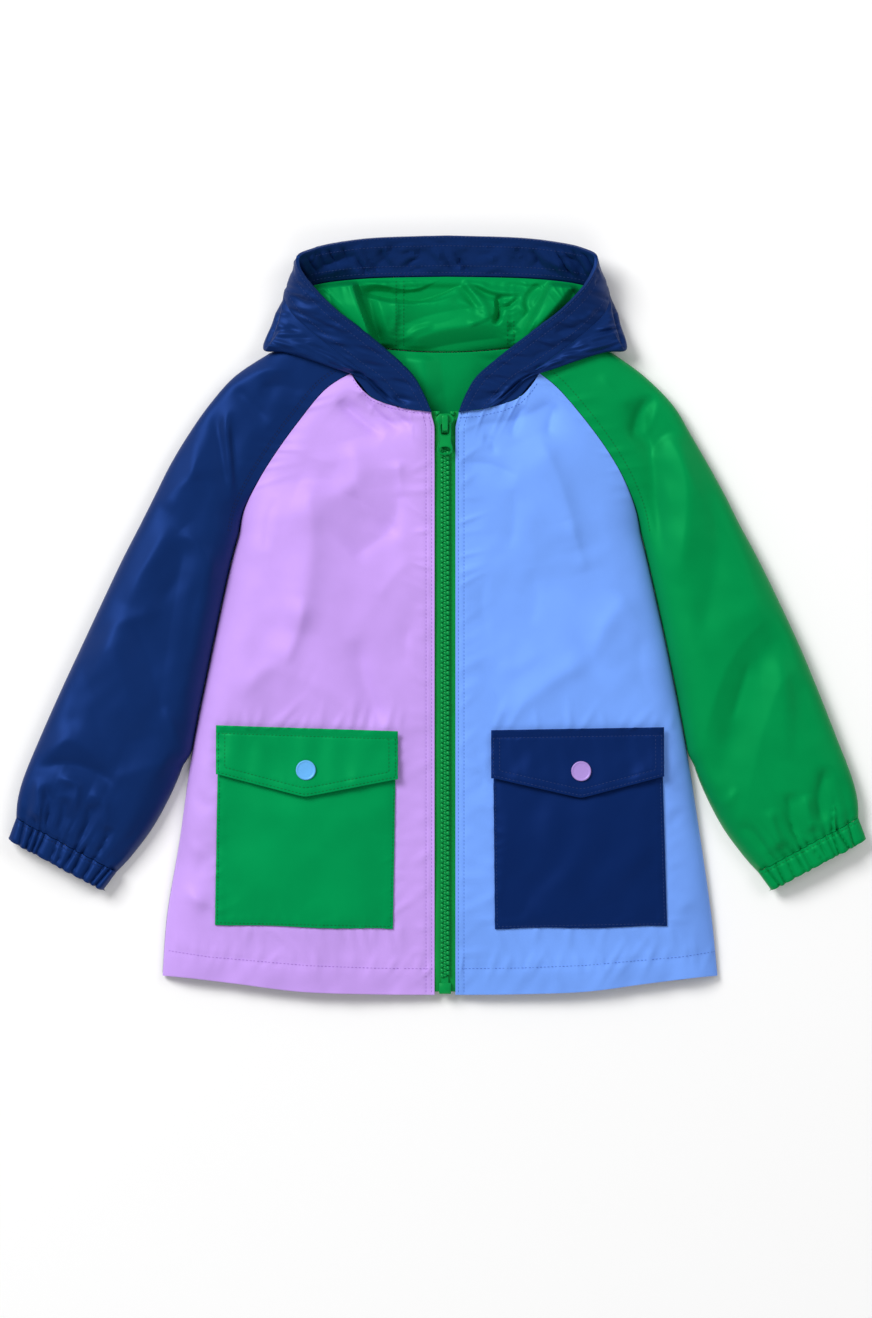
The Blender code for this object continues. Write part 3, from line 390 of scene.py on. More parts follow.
def linear(colour):
    """Scene colour of an sRGB colour given in 255ths."""
    shares = [v / 255 for v in colour]
    return (*[v / 12.92 if v <= 0.04045 else ((v + 0.055) / 1.055) ** 2.4 for v in shares], 1)


def add_node(tree, kind, **sockets):
    """A new node. A socket takes a constant, or another node with the name of its output."""
    node = tree.nodes.new(kind)
    for name, value in sockets.items():
        socket = node.inputs[name.replace("_", " ")]
        if isinstance(value, tuple) and isinstance(value[0], bpy.types.Node):
            tree.links.new(value[0].outputs[value[1]], socket)
        else:
            socket.default_value = value
    return node


def two_shades(tree, shader, source, colour, dark, light, low=0, high=1):
    """The shader's colour: between a darker and a lighter shade, as a texture varies."""
    ramp = add_node(tree, "ShaderNodeValToRGB", Fac=(source, "Fac"))
    first, last = ramp.color_ramp.elements
    first.position, last.position = low, high
    base = linear(colour)[:3]
    first.color = (*[v * dark for v in base], 1)
    last.color = (*[min(v * light, 1) for v in base], 1)
    tree.links.new(ramp.outputs["Color"], shader.inputs["Base Color"])


def uneven_gloss(tree, shader, source, low, high):
    gloss = add_node(tree, "ShaderNodeMapRange", Value=(source, "Fac"), To_Min=low, To_Max=high)
    tree.links.new(gloss.outputs["Result"], shader.inputs["Roughness"])


def tinted_shine(shader, colour, least):
    """A shine of the material's own colour, at least so bright in each channel."""
    base = linear(colour)[:3]
    shader.inputs["Specular Tint"].default_value = (
        *[least + (1 - least) * v / max(base) for v in base], 1)


def coated_cloth(name, colour, rough=0.5, crumple=0.12, shine=0.5):
    """Plain-woven cloth with a thin clear coat: a fine weave, a soft crumple and patches of painted sheen
    and shade.
    """
    material, tree, shader = new_material(name)
    place = add_node(tree, "ShaderNodeTexCoord"), "Object"
    # Painted sheen and shade: soft random patches where the colour goes a little lighter and darker; the
    # same patches vary the gloss.
    sheen_patches = add_node(tree, "ShaderNodeTexNoise", Vector=place, Scale=22.0, Detail=3.0)
    two_shades(tree, shader, sheen_patches, colour, 0.93, 1.05, 0.3, 0.7)
    uneven_gloss(tree, shader, sheen_patches, rough - 0.04, rough + 0.06)
    crumples = add_node(tree, "ShaderNodeTexNoise", Vector=place, Scale=55.0, Detail=3.0,
                        Roughness=0.45, Distortion=0.6)
    weft = add_node(tree, "ShaderNodeTexWave", Vector=place, Scale=640.0, Distortion=0.4)
    warp = add_node(tree, "ShaderNodeTexWave", Vector=place, Scale=700.0, Distortion=0.4)
    warp.bands_direction = "Y"
    weave = add_node(tree, "ShaderNodeMath")
    weave.operation = "MULTIPLY"
    for yarn, socket in zip((weft, warp), weave.inputs):
        tree.links.new(yarn.outputs["Fac"], socket)
    soft = add_node(tree, "ShaderNodeBump", Height=(crumples, "Fac"), Distance=crumple * MM)
    fine = add_node(tree, "ShaderNodeBump", Height=(weave, "Value"), Distance=0.007 * MM,
                    Normal=(soft, "Normal"))
    tree.links.new(fine.outputs["Normal"], shader.inputs["Normal"])
    shader.inputs["Specular IOR Level"].default_value = shine
    tinted_shine(shader, colour, 0.04)
    return material


def finished(name, mesh, material, replaces, body="jacket"):
    """A piece on its body, in place of its CAD nodes."""
    if not mesh.materials:
        mesh.materials.append(material)
    obj = new_object(name, mesh)
    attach(obj, body)
    if replaces:
        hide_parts(*replaces)
    return obj


def panel(name, points, wall, material, replaces, flipped=False, tube=False):
    """A cut piece of cloth: a grid of points on its outer face, its wall laid on inwards."""
    down, across = points.shape[:2]
    numbers = np.arange(down * across).reshape(down, across)
    if tube:
        numbers = np.hstack([numbers, numbers[:, :1]])
    faces = np.stack([numbers[:-1, :-1], numbers[:-1, 1:], numbers[1:, 1:], numbers[1:, :-1]], -1)
    faces = faces.reshape(-1, 4)
    if flipped:
        faces = faces[:, ::-1]
    mesh = bpy.data.meshes.new(name)
    mesh.from_pydata((points.reshape(-1, 3) * MM).tolist(), [], faces.tolist())
    mesh.shade_smooth()
    obj = finished(name, mesh, material, replaces)
    thick = obj.modifiers.new("wall", "SOLIDIFY")
    thick.thickness, thick.offset = wall * MM, -1
    rim = obj.modifiers.new("rounded rim", "BEVEL")
    rim.limit_method, rim.angle_limit = "ANGLE", math.radians(55)
    rim.width, rim.segments = 0.3 * wall * MM, 2
    return obj


lilac = coated_cloth("lilac shell", (199, 159, 241))
blue = coated_cloth("blue shell", (117, 163, 249))
front_pieces = {}
for side, cloth, slot in ((RIGHT, lilac, "shell_lilac"), (LEFT, blue, "shell_blue")):
    node = "front_" + SIDES[side]
    piece = panel(node + "_panel", front_points(side), CLOTH, cloth, [node], flipped=side == LEFT)
    front_pieces[side] = piece


# Stitching: every row is a line of short polyester stitches sunk a little into the cloth. One tree
# lays the stitches along any line; each row is first dropped onto the pieces that it sews.

STITCH_LENGTH, STITCH_GAP, THREAD = 1.75, 0.9, 0.45


def wire(tree, *links):
    """Links, each given as a node and its output, then a node and its input."""
    for node, output, other, socket in links:
        tree.links.new(node.outputs[output], other.inputs[socket])


def row_tree(name, *shape):
    """A tree that lays a shape again and again along a line: the tree, its inputs and the node that
    places the shape, which is still to be wired. Shape lists the inputs that the shape needs."""
    tree = bpy.data.node_groups.new(name, "GeometryNodeTree")
    for label, kind in (("line", "Geometry"), ("pitch", "Float"), *shape, ("material", "Material")):
        tree.interface.new_socket(name=label, in_out="INPUT", socket_type="NodeSocket" + kind)
    tree.interface.new_socket(name="row", in_out="OUTPUT", socket_type="NodeSocketGeometry")
    inputs, curve, spaced, placed, real, coloured, output = [tree.nodes.new(kind) for kind in (
        "NodeGroupInput", "GeometryNodeMeshToCurve", "GeometryNodeResampleCurve",
        "GeometryNodeInstanceOnPoints", "GeometryNodeRealizeInstances", "GeometryNodeSetMaterial",
        "NodeGroupOutput")]
    spaced.mode = "LENGTH"
    wire(tree, (inputs, "line", curve, "Mesh"), (curve, "Curve", spaced, "Curve"),
         (inputs, "pitch", spaced, "Length"), (spaced, "Curve", placed, "Points"),
         (placed, "Instances", real, "Geometry"), (real, "Geometry", coloured, "Geometry"),
         (inputs, "material", coloured, "Material"), (coloured, "Geometry", output, "row"))
    return tree, inputs, placed


def stitch_tree():
    tree, inputs, placed = row_tree("row of stitches", ("length", "Float"), ("thread", "Float"))
    stitch = add_node(tree, "GeometryNodeMeshUVSphere", Segments=5, Rings=4, Radius=0.5)
    upright = add_node(tree, "GeometryNodeTransform", Rotation=(0, math.pi / 2, 0))
    size, along, turned = [tree.nodes.new(kind) for kind in (
        "ShaderNodeCombineXYZ", "GeometryNodeInputTangent", "FunctionNodeAlignRotationToVector")]
    turned.axis = "X"
    wire(tree, (stitch, "Mesh", upright, "Geometry"), (upright, "Geometry", placed, "Instance"),
         (along, "Tangent", turned, "Vector"), (turned, "Rotation", placed, "Rotation"),
         (inputs, "length", size, "X"), (inputs, "thread", size, "Y"), (inputs, "thread", size, "Z"),
         (size, "Vector", placed, "Scale"))
    return tree


def plain_mesh(source):
    """The plain mesh that an object makes; the object is removed."""
    graph = bpy.context.evaluated_depsgraph_get()
    mesh = bpy.data.meshes.new_from_object(source.evaluated_get(graph), depsgraph=graph)
    bpy.data.objects.remove(source, do_unlink=True)
    return mesh


def made_by(tree, source, **values):
    """The plain mesh that a tree makes from an object."""
    modifier = source.modifiers.new("tree", "NODES")
    modifier.node_group = tree
    for socket in tree.interface.items_tree:
        if socket.in_out == "INPUT" and socket.name in values:
            modifier[socket.identifier] = values[socket.name]
    return plain_mesh(source)


def line_object(lines):
    """Loose edges through each line's points."""
    points, edges = [], []
    for line in lines:
        edges += [(i, i + 1) for i in range(len(points), len(points) + len(line) - 1)]
        points += [Vector(p) * MM for p in line]
    mesh = bpy.data.meshes.new("line")
    mesh.from_pydata(points, edges, [])
    return new_object("line", mesh)


def laid_on(pieces, line, lift=0.05, step=1.5, wall=0.0):
    """A line (x, y) laid on the pieces from above, its points a step apart; parts that miss them are cut.

    Where a piece's outer face looks down, the line lies on the other side of its wall.
    """
    trees = [TREES.setdefault(p.name, BVHTree.FromPolygons([v.co for v in p.data.vertices],
                                                           [f.vertices for f in p.data.polygons]))
             for p in pieces]
    line = np.asarray(line, float)
    far = run_along(line[:, :2])
    places = np.linspace(0, far[-1], max(int(far[-1] / step), 2))
    found, run = [], []
    for x, y in zip(np.interp(places, far, line[:, 0]), np.interp(places, far, line[:, 1])):
        hits = [t.ray_cast(Vector((x * MM, y * MM, 1)), Vector((0, 0, -1)))[:2] for t in trees]
        heights = [h.z - (wall * MM / n.z if n.z < 0 else 0) for h, n in hits if h]
        if heights:
            run.append((x, y, max(heights) / MM + lift))
        elif run:
            found.append(run)
            run = []
    return [r for r in found + [run] if len(r) > 2]


TREES = {}
STITCHES = stitch_tree()


def thread(name, colour):
    """Twisted polyester thread: ply lines across each stitch and a dull shine."""
    material, tree, shader = new_material(name)
    place = add_node(tree, "ShaderNodeTexCoord"), "Object"
    ply = add_node(tree, "ShaderNodeTexWave", Vector=place, Scale=1300)
    ply.bands_direction = "DIAGONAL"
    two_shades(tree, shader, ply, colour, 0.75, 1)
    shader.inputs["Roughness"].default_value = 0.6
    shader.inputs["Specular IOR Level"].default_value = 0.2
    return material


def sew(name, lines, material):
    """Rows of stitches along lines that already lie on the cloth."""
    mesh = made_by(STITCHES, line_object(lines), pitch=(STITCH_LENGTH + STITCH_GAP) * MM,
                   length=STITCH_LENGTH * MM, thread=THREAD * MM, material=material)
    mesh.shade_smooth()
    finished(name, mesh, material, [])


lilac_thread = thread("lilac thread", (170, 122, 216))
blue_thread = thread("blue thread", (78, 118, 210))
for side, material, slot in ((RIGHT, lilac_thread, "shell_lilac"), (LEFT, blue_thread, "shell_blue")):
    rows = []
    for inset in ZIP_ROWS:
        ys = np.linspace(HEM_AT_ZIP + 2.5, NECK_AT_ZIP - 2, 120)
        rows.append(np.stack([zip_edge_x(side, ys) + side * inset, ys], -1))
    xs = side * np.linspace(9.5, 193, 60)
    rows.append(np.stack([xs, hem_y(xs) + HEM_TURNED], -1))
    xs = side * np.linspace(11, 64, 40)
    below = 2.0 if side == RIGHT else 4.8
    rows.append(np.stack([xs, np.interp(-np.abs(xs), NECK[:, 0], NECK[:, 1]) - below], -1))
    laid = [run for row in rows for run in laid_on([front_pieces[side]], row)]
    sew(f"front_{SIDES[side]}_stitches", laid, material)


# Back: one wide panel that lies flat on the table under the fronts, from hem to back neck, in the
# same coated cloth as the hood. Where it doesn't touch the table it stands up in low, soft creases.

BACK_SHORTER = 1.0
BACK_NECK_DIP = 3.4
NECK_HALF = 49.0
BACK_CREASES = [
    (-120, -200, -84, -150, -90, -88, 1.4, 10, 16), (70, -212, 96, -160, 84, -96, 1.3, 14, 9),
    (-30, -180, -8, -120, -22, -50, 1.2, 13, 17), (-96, -40, -60, 4, -66, 66, 1.4, 9, 14),
    (34, -30, 62, 20, 52, 82, 1.3, 15, 9), (-128, 20, -96, 44, -60, 48, 1.0, 8, 11),
    (112, 26, 84, 52, 44, 60, 1.2, 11, 7), (-20, 20, 6, 60, -4, 96, 0.9, 12, 10),
    (-150, -140, -140, -90, -144, -40, 0.9, 9, 12), (140, -150, 130, -96, 138, -44, 1.0, 8, 12)]


def back_neck_y(x):
    half = np.minimum(np.abs(x), NECK_HALF) / NECK_HALF
    return RAGLAN[-1, 3] - BACK_NECK_DIP * (1 - half ** 2)


def back_points(rows=104, columns=104):
    share, across = np.linspace(0, 1, rows), np.linspace(0, 1, columns)[None]
    ends = []
    for side in SIDES:
        seam = through(SIDE_SEAM, share / SIDE_SHARE * 6)
        raglan = through(RAGLAN, (share - SIDE_SHARE) / (1 - SIDE_SHARE) * 6)
        low = share < SIDE_SHARE
        ends.append((np.where(low, onto_side(seam[:, 0], seam[:, 2], side),
                              onto_side(raglan[:, 2], raglan[:, 8], side))[:, None],
                     np.where(low, seam[:, 1], raglan[:, 3])[:, None]))
    (right_x, right_y), (left_x, left_y) = ends
    beside_sleeve = 0.28 * smooth((right_y + 102) / 10) * smooth((54 - right_y) / 10)
    right_x, left_x = right_x - beside_sleeve, left_x + beside_sleeve
    x, up = mix(right_x, left_x, across), share[:, None]
    y = mix(right_y, left_y, across) + BACK_SHORTER * (1 - up) ** 3
    y = y + (hem_y(x) - HEM[0, 1] + 1.0 + 3.2 * smooth((10 - np.abs(x)) / 4)) * (1 - up) ** 3
    y = y + (back_neck_y(x) - RAGLAN[-1, 3]) * up ** 4
    inset = np.minimum(x - right_x, left_x - x)
    clear = smooth((inset - 4) / 16) * smooth(up * 14) * smooth((92 - y) / 20)
    z = np.maximum(creases(x, y, BACK_CREASES) + 0.18 * ripple(x, y, 70, 3), 0) * clear
    return np.stack([x, y, z], -1)


navy = coated_cloth("navy shell", (13, 39, 90), rough=0.46)
piece = panel("back_panel", back_points(), CLOTH, navy, ["back"], flipped=True)


# Back lining: the lining behind the open neck, sewn to the back neck seam, in thin smooth taffeta.
# It lies almost flat, with one long shallow hollow where the cloth has been pressed by the zip.

LINING = 1.0
LINING_FOOT, LINING_FOOT_HALF = 104.0, 62.0
NECK_LINING_CREASES = [
    (-17, 196, -14, 168, -10, 136, 3.6, 12, 12), (-44, 194, -30, 172, -14, 148, 3.0, 26, 10),
    (18, 188, 30, 180, 40, 182, -0.8, 4, 5), (14, 180, 22, 164, 14, 150, 0.4, 7, 9)]


def back_lining_points(rows=60, columns=90):
    share, across = np.linspace(0, 1, rows)[:, None], np.linspace(-1, 1, columns)[None]
    x = mix(LINING_FOOT_HALF, NECK_HALF + 1, share) * across
    y = mix(LINING_FOOT, back_neck_y(x) - SEAM / 2, share)
    z = CLOTH + SEAM + LINING + creases(x, y, NECK_LINING_CREASES, 0.15) * smooth((1 - share) * 12)
    z = z + 1.0 + 0.1 * ripple(x, y, 34, 8)
    return np.stack([x, y, z + 0 * y], -1)


neck_lining = coated_cloth("neck lining", (0, 136, 70), rough=0.42, crumple=0.1)
piece = panel("back_lining_panel", back_lining_points(), LINING, neck_lining, ["back_lining"])


# Sleeves: each cut in one piece with a raglan top, from the front seam over the outer fold and back
# under to the back seam, in the shell cloth. They lie half collapsed, with the fold outermost.

SLEEVE_ROLL = 27.0               # width over which the top of a sleeve rounds down to its fold
FOLD_HEIGHT = 8.0
RAGLAN_ROWS, ARM_ROWS = 76, 140  # rows of the panel above and below the underarm
SLEEVE = np.array([              # seam x, y; fold x, y; crest, lean: underarm to cuff
    (-144.2, 57.4, -213.5, 63.7, 21.0, -3.5), (-153.0, 27.3, -226.1, 39.2, 22.0, -3.2),
    (-160.6, -6.3, -239.4, 11.2, 22.5, -3.0), (-168.2, -41.3, -254.1, -20.3, 22.5, -3.0),
    (-175.6, -76.3, -268.8, -51.8, 22.0, -3.8), (-186.0, -111.3, -282.8, -83.3, 21.0, -4.6),
    (-202.3, -144.2, -294.7, -112.0, 20.0, -5.0), (-218.4, -166.6, -299.3, -128.8, 18.5, -5.2),
    (-230.0, -179.2, -300.3, -141.4, 16.5, -5.4)])
SLEEVE_CREASES = {
    RIGHT: [
        (-150, 162, -138, 150, -122, 134, -2.6, 7, 8), (-163, 152, -157, 118, -151, 80, -3.4, 6, 8),
        (-154, 148, -151, 110, -146, 70, 2.4, 4, 5), (-150, 144, -147, 104, -143, 62, -3.0, 6, 3),
        (-179, 130, -176, 112, -177, 94, 2.6, 9, 8), (-200, 76, -188, 90, -170, 98, 2.6, 8, 12),
        (-190, 66, -207, 38, -226, 8, 2.2, 14, 10), (-183, 56, -187, 30, -202, 4, -2.2, 10, 10),
        (-184, 62, -168, 42, -157, 20, 2.0, 10, 8), (-242, -8, -222, -3, -198, 4, 1.4, 9, 8),
        (-196, -62, -188, -82, -176, -96, 2.0, 4, 6), (-290, -104, -262, -87, -232, -106, 2.8, 12, 10),
        (-290, -106, -260, -104, -228, -118, -2.8, 7, 5), (-238, -116, -208, -107, -184, -98, 2.4, 12, 12),
        (-272, -36, -260, -60, -262, -82, -1.4, 10, 14), (-296, -116, -293, -134, -297, -150, -2.4, 3, 4),
        (-287, -112, -284, -130, -290, -148, 2.6, 4, 4), (-280, -118, -276, -134, -281, -152, -3.0, 4, 5),
        (-272, -113, -257, -119, -263, -142, 2.8, 4, 5), (-266, -126, -267, -140, -273, -156, -2.8, 4, 4),
        (-247, -130, -250, -145, -257, -162, -2.8, 5, 5), (-250, -124, -238, -132, -240, -152, 2.0, 5, 4),
        (-234, -146, -238, -158, -245, -170, -2.2, 4, 4), (-170, 30, -178, -2, -180, -34, -1.4, 8, 10),
        (-154, 158, -132, 171, -104, 171, 2.4, 7, 8), (-130, 160, -113, 161, -96, 152, -2.2, 6, 8),
        (-214, 92, -204, 104, -192, 112, -1.2, 5, 6)],
    LEFT: [
        (131, 120, 136, 143, 152, 157, -3.6, 6, 9), (152, 156, 146, 140, 139, 124, 2.0, 5, 5),
        (136, 154, 145, 104, 149, 30, -6.4, 10, 15), (166, 130, 152, 125, 144, 112, -1.6, 4, 5),
        (160, 134, 170, 86, 163, 18, 4.4, 16, 12), (186, 98, 190, 42, 176, -26, -2.4, 14, 14),
        (184, -124, 195, -132, 206, -120, 1.8, 4, 4), (241, -122, 242, -140, 247, -160, -3.2, 9, 5),
        (268, -104, 262, -124, 264, -150, -3.6, 10, 5),
        (204, -147, 216, -153, 226, -170, -2.6, 6, 6), (252, -124, 254, -138, 258, -152, 2.2, 4, 5),
        (278, -112, 281, -132, 285, -152, -1.8, 5, 5), (228, -134, 230, -148, 236, -164, 2.0, 4, 5),
        (214, -30, 207, -52, 200, -76, -1.0, 3, 4), (206, 64, 214, 26, 222, -4, 1.4, 12, 10),
        (252, -40, 250, -66, 262, -90, -1.4, 10, 9), (108, 170, 118, 156, 130, 146, 1.2, 7, 6),
        (176, -96, 182, -112, 196, -124, 1.4, 6, 6), (272, -96, 280, -100, 288, -112, 1.4, 5, 4)]}
SLEEVE_FOLDS = {                 # the broad folds, with flat sides
    RIGHT: [
        (-242, -6, -227, -40, -215, -88, 6.0, 21, 24), (-157, 48, -168, -8, -179, -86, 3.2, 8, 24)],
    LEFT: [
        (248, -4, 212, -44, 187, -134, -5.4, 22, 17), (232, -16, 237, -60, 238, -104, 2.0, 8, 14)]}
UNDER_CREASES = [                # on the underside, given on the right and mirrored for the left
    (-206, 30, -190, -10, -196, -60, 1.0, 9, 13), (-236, -40, -222, -72, -232, -108, 0.9, 11, 8),
    (-168, 110, -160, 84, -170, 60, 0.8, 8, 10), (-250, -100, -240, -124, -256, -140, 0.9, 6, 8)]


def beside(x, y, distance):
    """The line (x, y) moved sideways, to the left of its direction."""
    dx, dy = np.gradient(x), np.gradient(y)
    length = np.hypot(dx, dy)
    return x - dy / length * distance, y + dx / length * distance


def sleeve_frame(side):
    """Front seam, fold and back seam of each row across a sleeve, neck to cuff, with its heights."""
    share = np.linspace(SIDE_SHARE, 1, RAGLAN_ROWS + 1)
    row = through(RAGLAN, (share - SIDE_SHARE) / (1 - SIDE_SHARE) * 6)
    seam_x, seam_y = onto_side(row[:, 0], row[:, 8], side), row[:, 1]
    inner = np.stack(beside(seam_x, seam_y, -side * SEAM), -1)
    back = np.stack(beside(onto_side(row[:, 2], row[:, 8], side), row[:, 3], -side * SEAM), -1)
    fold = np.stack([onto_side(row[:, 4], row[:, 9], side), row[:, 5]], -1)
    seam_z = front_face(side, seam_x[:, None], seam_y[:, None])[:, 0]
    top = [inner, fold, back, row[:, 6], seam_z, rolled_share(seam_y), row[:, 7]]
    arm = through(SLEEVE, np.linspace(0, len(SLEEVE) - 1, ARM_ROWS))
    seam_x = onto_side(arm[:, 0], arm[:, 5], side)
    clear = side * (np.abs(edge_x(side, arm[:, 1])) + SEAM)
    seam_x = mix(seam_x, clear, smooth((arm[:, 1] - SIDE_SEAM[3, 1]) / 12 + 1))
    inner = np.stack([seam_x, arm[:, 1]], -1)
    fold = np.stack([onto_side(arm[:, 2], arm[:, 5], side), arm[:, 3]], -1)
    low = [inner, fold, inner, arm[:, 4], np.full(ARM_ROWS, FOOT), np.ones(ARM_ROWS), np.zeros(ARM_ROWS)]
    return [np.concatenate([a[:0:-1], b]) for a, b in zip(top, low)]


CUFF_HEIGHT, CUFF_LENGTH = 15.0, 15.8
PLEAT_HEIGHT = 3.0
TOP_PLEATS, UNDER_PLEATS = 140, 150  # seeds of the pleats on the cuff's two faces


def gathers(across, share, seed, count=12):
    """Pleats that elastic draws up, about nought: across runs from -1 to 1, share down the cuff."""
    chance = np.random.default_rng(seed)
    steps = chance.uniform(0.6, 1.5, count)
    top = np.concatenate([[0], np.cumsum(steps)]) / steps.sum() * 2 - 1
    foot = np.sort(top + 0.05 * chance.normal(0, 1, count + 1))
    above = np.sort(top + 0.07 * chance.normal(0, 1, count + 1))
    height, reach = chance.uniform(0.6, 1.1, count), chance.uniform(0.5, 1.9, count)
    total = np.zeros(np.broadcast_shapes(np.shape(across), np.shape(share)))
    for i in range(count):
        low, high = [np.where(share > 0, mix(top[j], foot[j], share),
                              mix(top[j], above[j], np.clip(-share / 1.5, 0, 1))) for j in (i, i + 1)]
        t = (across - low) / np.maximum(high - low, 0.02)
        round_top = height[i] * np.clip(4 * t * (1 - t), 0, 1) ** 0.7 - 0.6
        fade = np.exp(np.minimum(share, 0) / reach[i])
        total = np.where((t >= 0) & (t < 1), round_top * fade, total)
    return total


def sleeve_points(side, middle=44, arc=8, under=20):
    inner, fold, back, crest, seam_z, rolled, bow = sleeve_frame(side)
    width = np.hypot(*(fold - inner).T)
    half = near_edge(width / 2, 11, middle // 2)
    inset = np.concatenate([half, (width[:, None] - half)[:, -2::-1]], -1)
    share = inset / width[:, None]
    line = fold - inner
    normal = np.stack([line[:, 1], -line[:, 0]], -1) / width[:, None]
    normal *= np.where(normal[:, 1:] < 0, -1, 1)
    flat = inner[:, None] + line[:, None] * share[..., None]
    flat = flat + normal[:, None] * (bow[:, None] * 4 * share * (1 - share))[..., None]
    x, y = flat[..., 0], flat[..., 1]
    near = mix(smooth(inset / ROLL), rounding(inset, ROLL), rolled[:, None])
    outer = width[:, None] - inset
    top = FOLD_HEIGHT + (crest[:, None] - FOLD_HEIGHT) * rounding(outer, SLEEVE_ROLL)
    rows = len(inner)
    down = run_along(inner)[:, None]
    rise = creases(x, y, SLEEVE_CREASES[side]) + creases(x, y, SLEEVE_FOLDS[side], 0.25)
    rise = rise + 0.35 * ripple(inset, down * 0.45, 60, 60 + side) + 0.2 * ripple(x, y, 24, 65 + side)
    top = top + rise * np.minimum(smooth(inset / ROLL) * 2, 1) * smooth(outer / 18)
    raglan = smooth((down[RAGLAN_ROWS] - down) / 30)
    top = top + 0.45 * raglan * tucks(down, inset, 0, 160, 9, 9, 71 + side)
    to_cuff = down[-1] - down
    across = 1 - 2 * share
    level = CUFF_HEIGHT / 2 * (1 + (1 - np.abs(across) ** 2.5) ** 0.31)
    z = mix(seam_z[:, None], top, near)
    z = mix(z, level, smooth(1 - to_cuff / 14) * smooth(inset / 10) * smooth(outer / 4))
    pleats = gathers(across, -to_cuff / CUFF_LENGTH, TOP_PLEATS + side)
    z = z + PLEAT_HEIGHT * pleats * smooth(inset / 7) * smooth(outer / 6) - 0.8 * bell(to_cuff, 2.2)
    over = np.stack([x, y, z], -1)
    towards = (inner[-1] - inner[-2]) / np.hypot(*(inner[-1] - inner[-2]))
    over[..., :2] += towards * (pleats * smooth(1 - to_cuff / 6) * smooth(outer / 6) * smooth(inset / 6)
                                )[..., None]
    inward = (back - fold) / np.hypot(*(back - fold).T)[:, None]
    turn = np.linspace(0, math.pi / 2, arc + 1)[1:]
    reach = FOLD_HEIGHT * (1 - np.cos(turn))
    round_it = fold[:, None] + inward[:, None] * reach[None, :, None]
    bend = np.concatenate([round_it, np.broadcast_to(FOLD_HEIGHT * (1 - np.sin(turn))[None, :, None],
                                                     (rows, arc, 1))], -1)
    t = np.linspace(0, 1, under + 1)[1:]
    start = fold + inward * FOLD_HEIGHT
    flat = start[:, None] + (back - start)[:, None] * t[None, :, None]
    x, y = flat[..., 0], flat[..., 1]
    low = np.maximum(creases(np.abs(x) * -1, y, UNDER_CREASES) + 0.15 * ripple(x, y, 50, 90 + side), 0)
    low = low * smooth(t * 6) * smooth((1 - t) * 6) * smooth(down / 10) * smooth(to_cuff / 10)
    under_face = np.concatenate([flat, low[..., None]], -1)
    return np.concatenate([over, bend, under_face], 1)


green = coated_cloth("green shell", (0, 137, 70), rough=0.48)
navy_thread = thread("navy thread", (40, 62, 120))
raglan_thread = thread("raglan thread", (14, 26, 66))
green_thread = thread("green thread", (0, 96, 44))
sleeve_pieces = {}
for side, cloth, slot in ((RIGHT, navy, "shell_navy"), (LEFT, green, "shell_green")):
    node = "sleeve_" + SIDES[side]
    grid = sleeve_points(side)
    piece = panel(node + "_panel", grid, CLOTH, cloth, [node], flipped=side == LEFT)
    sleeve_pieces[side] = piece
    inner, fold = sleeve_frame(side)[:2]
    rows = []
    for off in ((6.0, 7.6) if side == RIGHT else (6.0,)):
        x, y = beside(*inner[:RAGLAN_ROWS].T, side * off)
        rows.append(np.stack([x, y], -1)[3:-1])
    laid = [run for row in rows for run in laid_on([piece], row)]
    sew(f"sleeve_{SIDES[side]}_stitches", laid, raglan_thread if side == RIGHT else green_thread)


# Cuffs: a folded band of the sleeve's cloth with elastic in it, sewn round the end of each sleeve,
# so both are drawn up into short pleats. The band stands open as a flat ring.

CUFF_WALL, CUFF_NARROWING = 1.8, 2.2


def cuff_points(side, rows=20, around=300):
    last = SLEEVE[-1]
    seam = np.array([onto_side(last[0], last[5], side), last[1]])
    fold = np.array([onto_side(last[2], last[5], side), last[3]])
    along = (seam - fold) / np.hypot(*(seam - fold))
    out = np.array([along[1], -along[0]])
    out = -out if out[1] > 0 else out
    share, turn = np.linspace(0, 1, rows)[:, None], math.tau * np.arange(around)[None] / around
    c, s = np.cos(turn), np.sin(turn)
    half = np.hypot(*(seam - fold)) / 2 - CUFF_NARROWING * share
    across, height = np.sign(c) * np.abs(c) ** 0.8, np.sign(s) * np.abs(s) ** 0.62
    pleat = np.where(s > 0, gathers(across, share, TOP_PLEATS + side),
                     gathers(across, share, UNDER_PLEATS + side))
    flat = smooth(np.abs(s) * 1.8)
    pleat = pleat * flat
    pinch = 0.8 * bell(share, 0.12) + 0.5 * bell(share - 0.13, 0.05)
    lift = PLEAT_HEIGHT * pleat - pinch * np.abs(s)
    wave = pleat - 0.6 * (1 - flat)
    length = CUFF_LENGTH * share + wave * ((1 - share) ** 3 + 1.1 * share ** 3)
    end = smooth((share - 0.86) / 0.14)
    z = CUFF_HEIGHT / 2 * (1 + height) - end * 0.9 * np.sign(s)
    z = z + np.where(s > 0, lift, np.maximum(-0.8 * pleat * flat, 0) * 1.6)
    z = np.where(s > 0, z, np.maximum(z, 0))
    place = (seam + fold) / 2 + out * (SEAM + length)[..., None] + along * (half * across)[..., None]
    return np.concatenate([place, z[..., None]], -1), along, out, (seam + fold) / 2


for side, cloth, colour, slot in ((RIGHT, navy, raglan_thread, "shell_navy"),
                                  (LEFT, green, green_thread, "shell_green")):
    grid, along, out, middle = cuff_points(side)
    piece = panel(f"cuff_{SIDES[side]}_band", grid, CUFF_WALL, cloth, ["cuff_" + SIDES[side]],
                  flipped=side == LEFT, tube=True)
    row = [middle + out * 2.4 + along * x for x in np.linspace(-38, 38, 40)]
    sew(f"cuff_{SIDES[side]}_stitches", laid_on([piece], row, lift=0, step=1.0), colour)


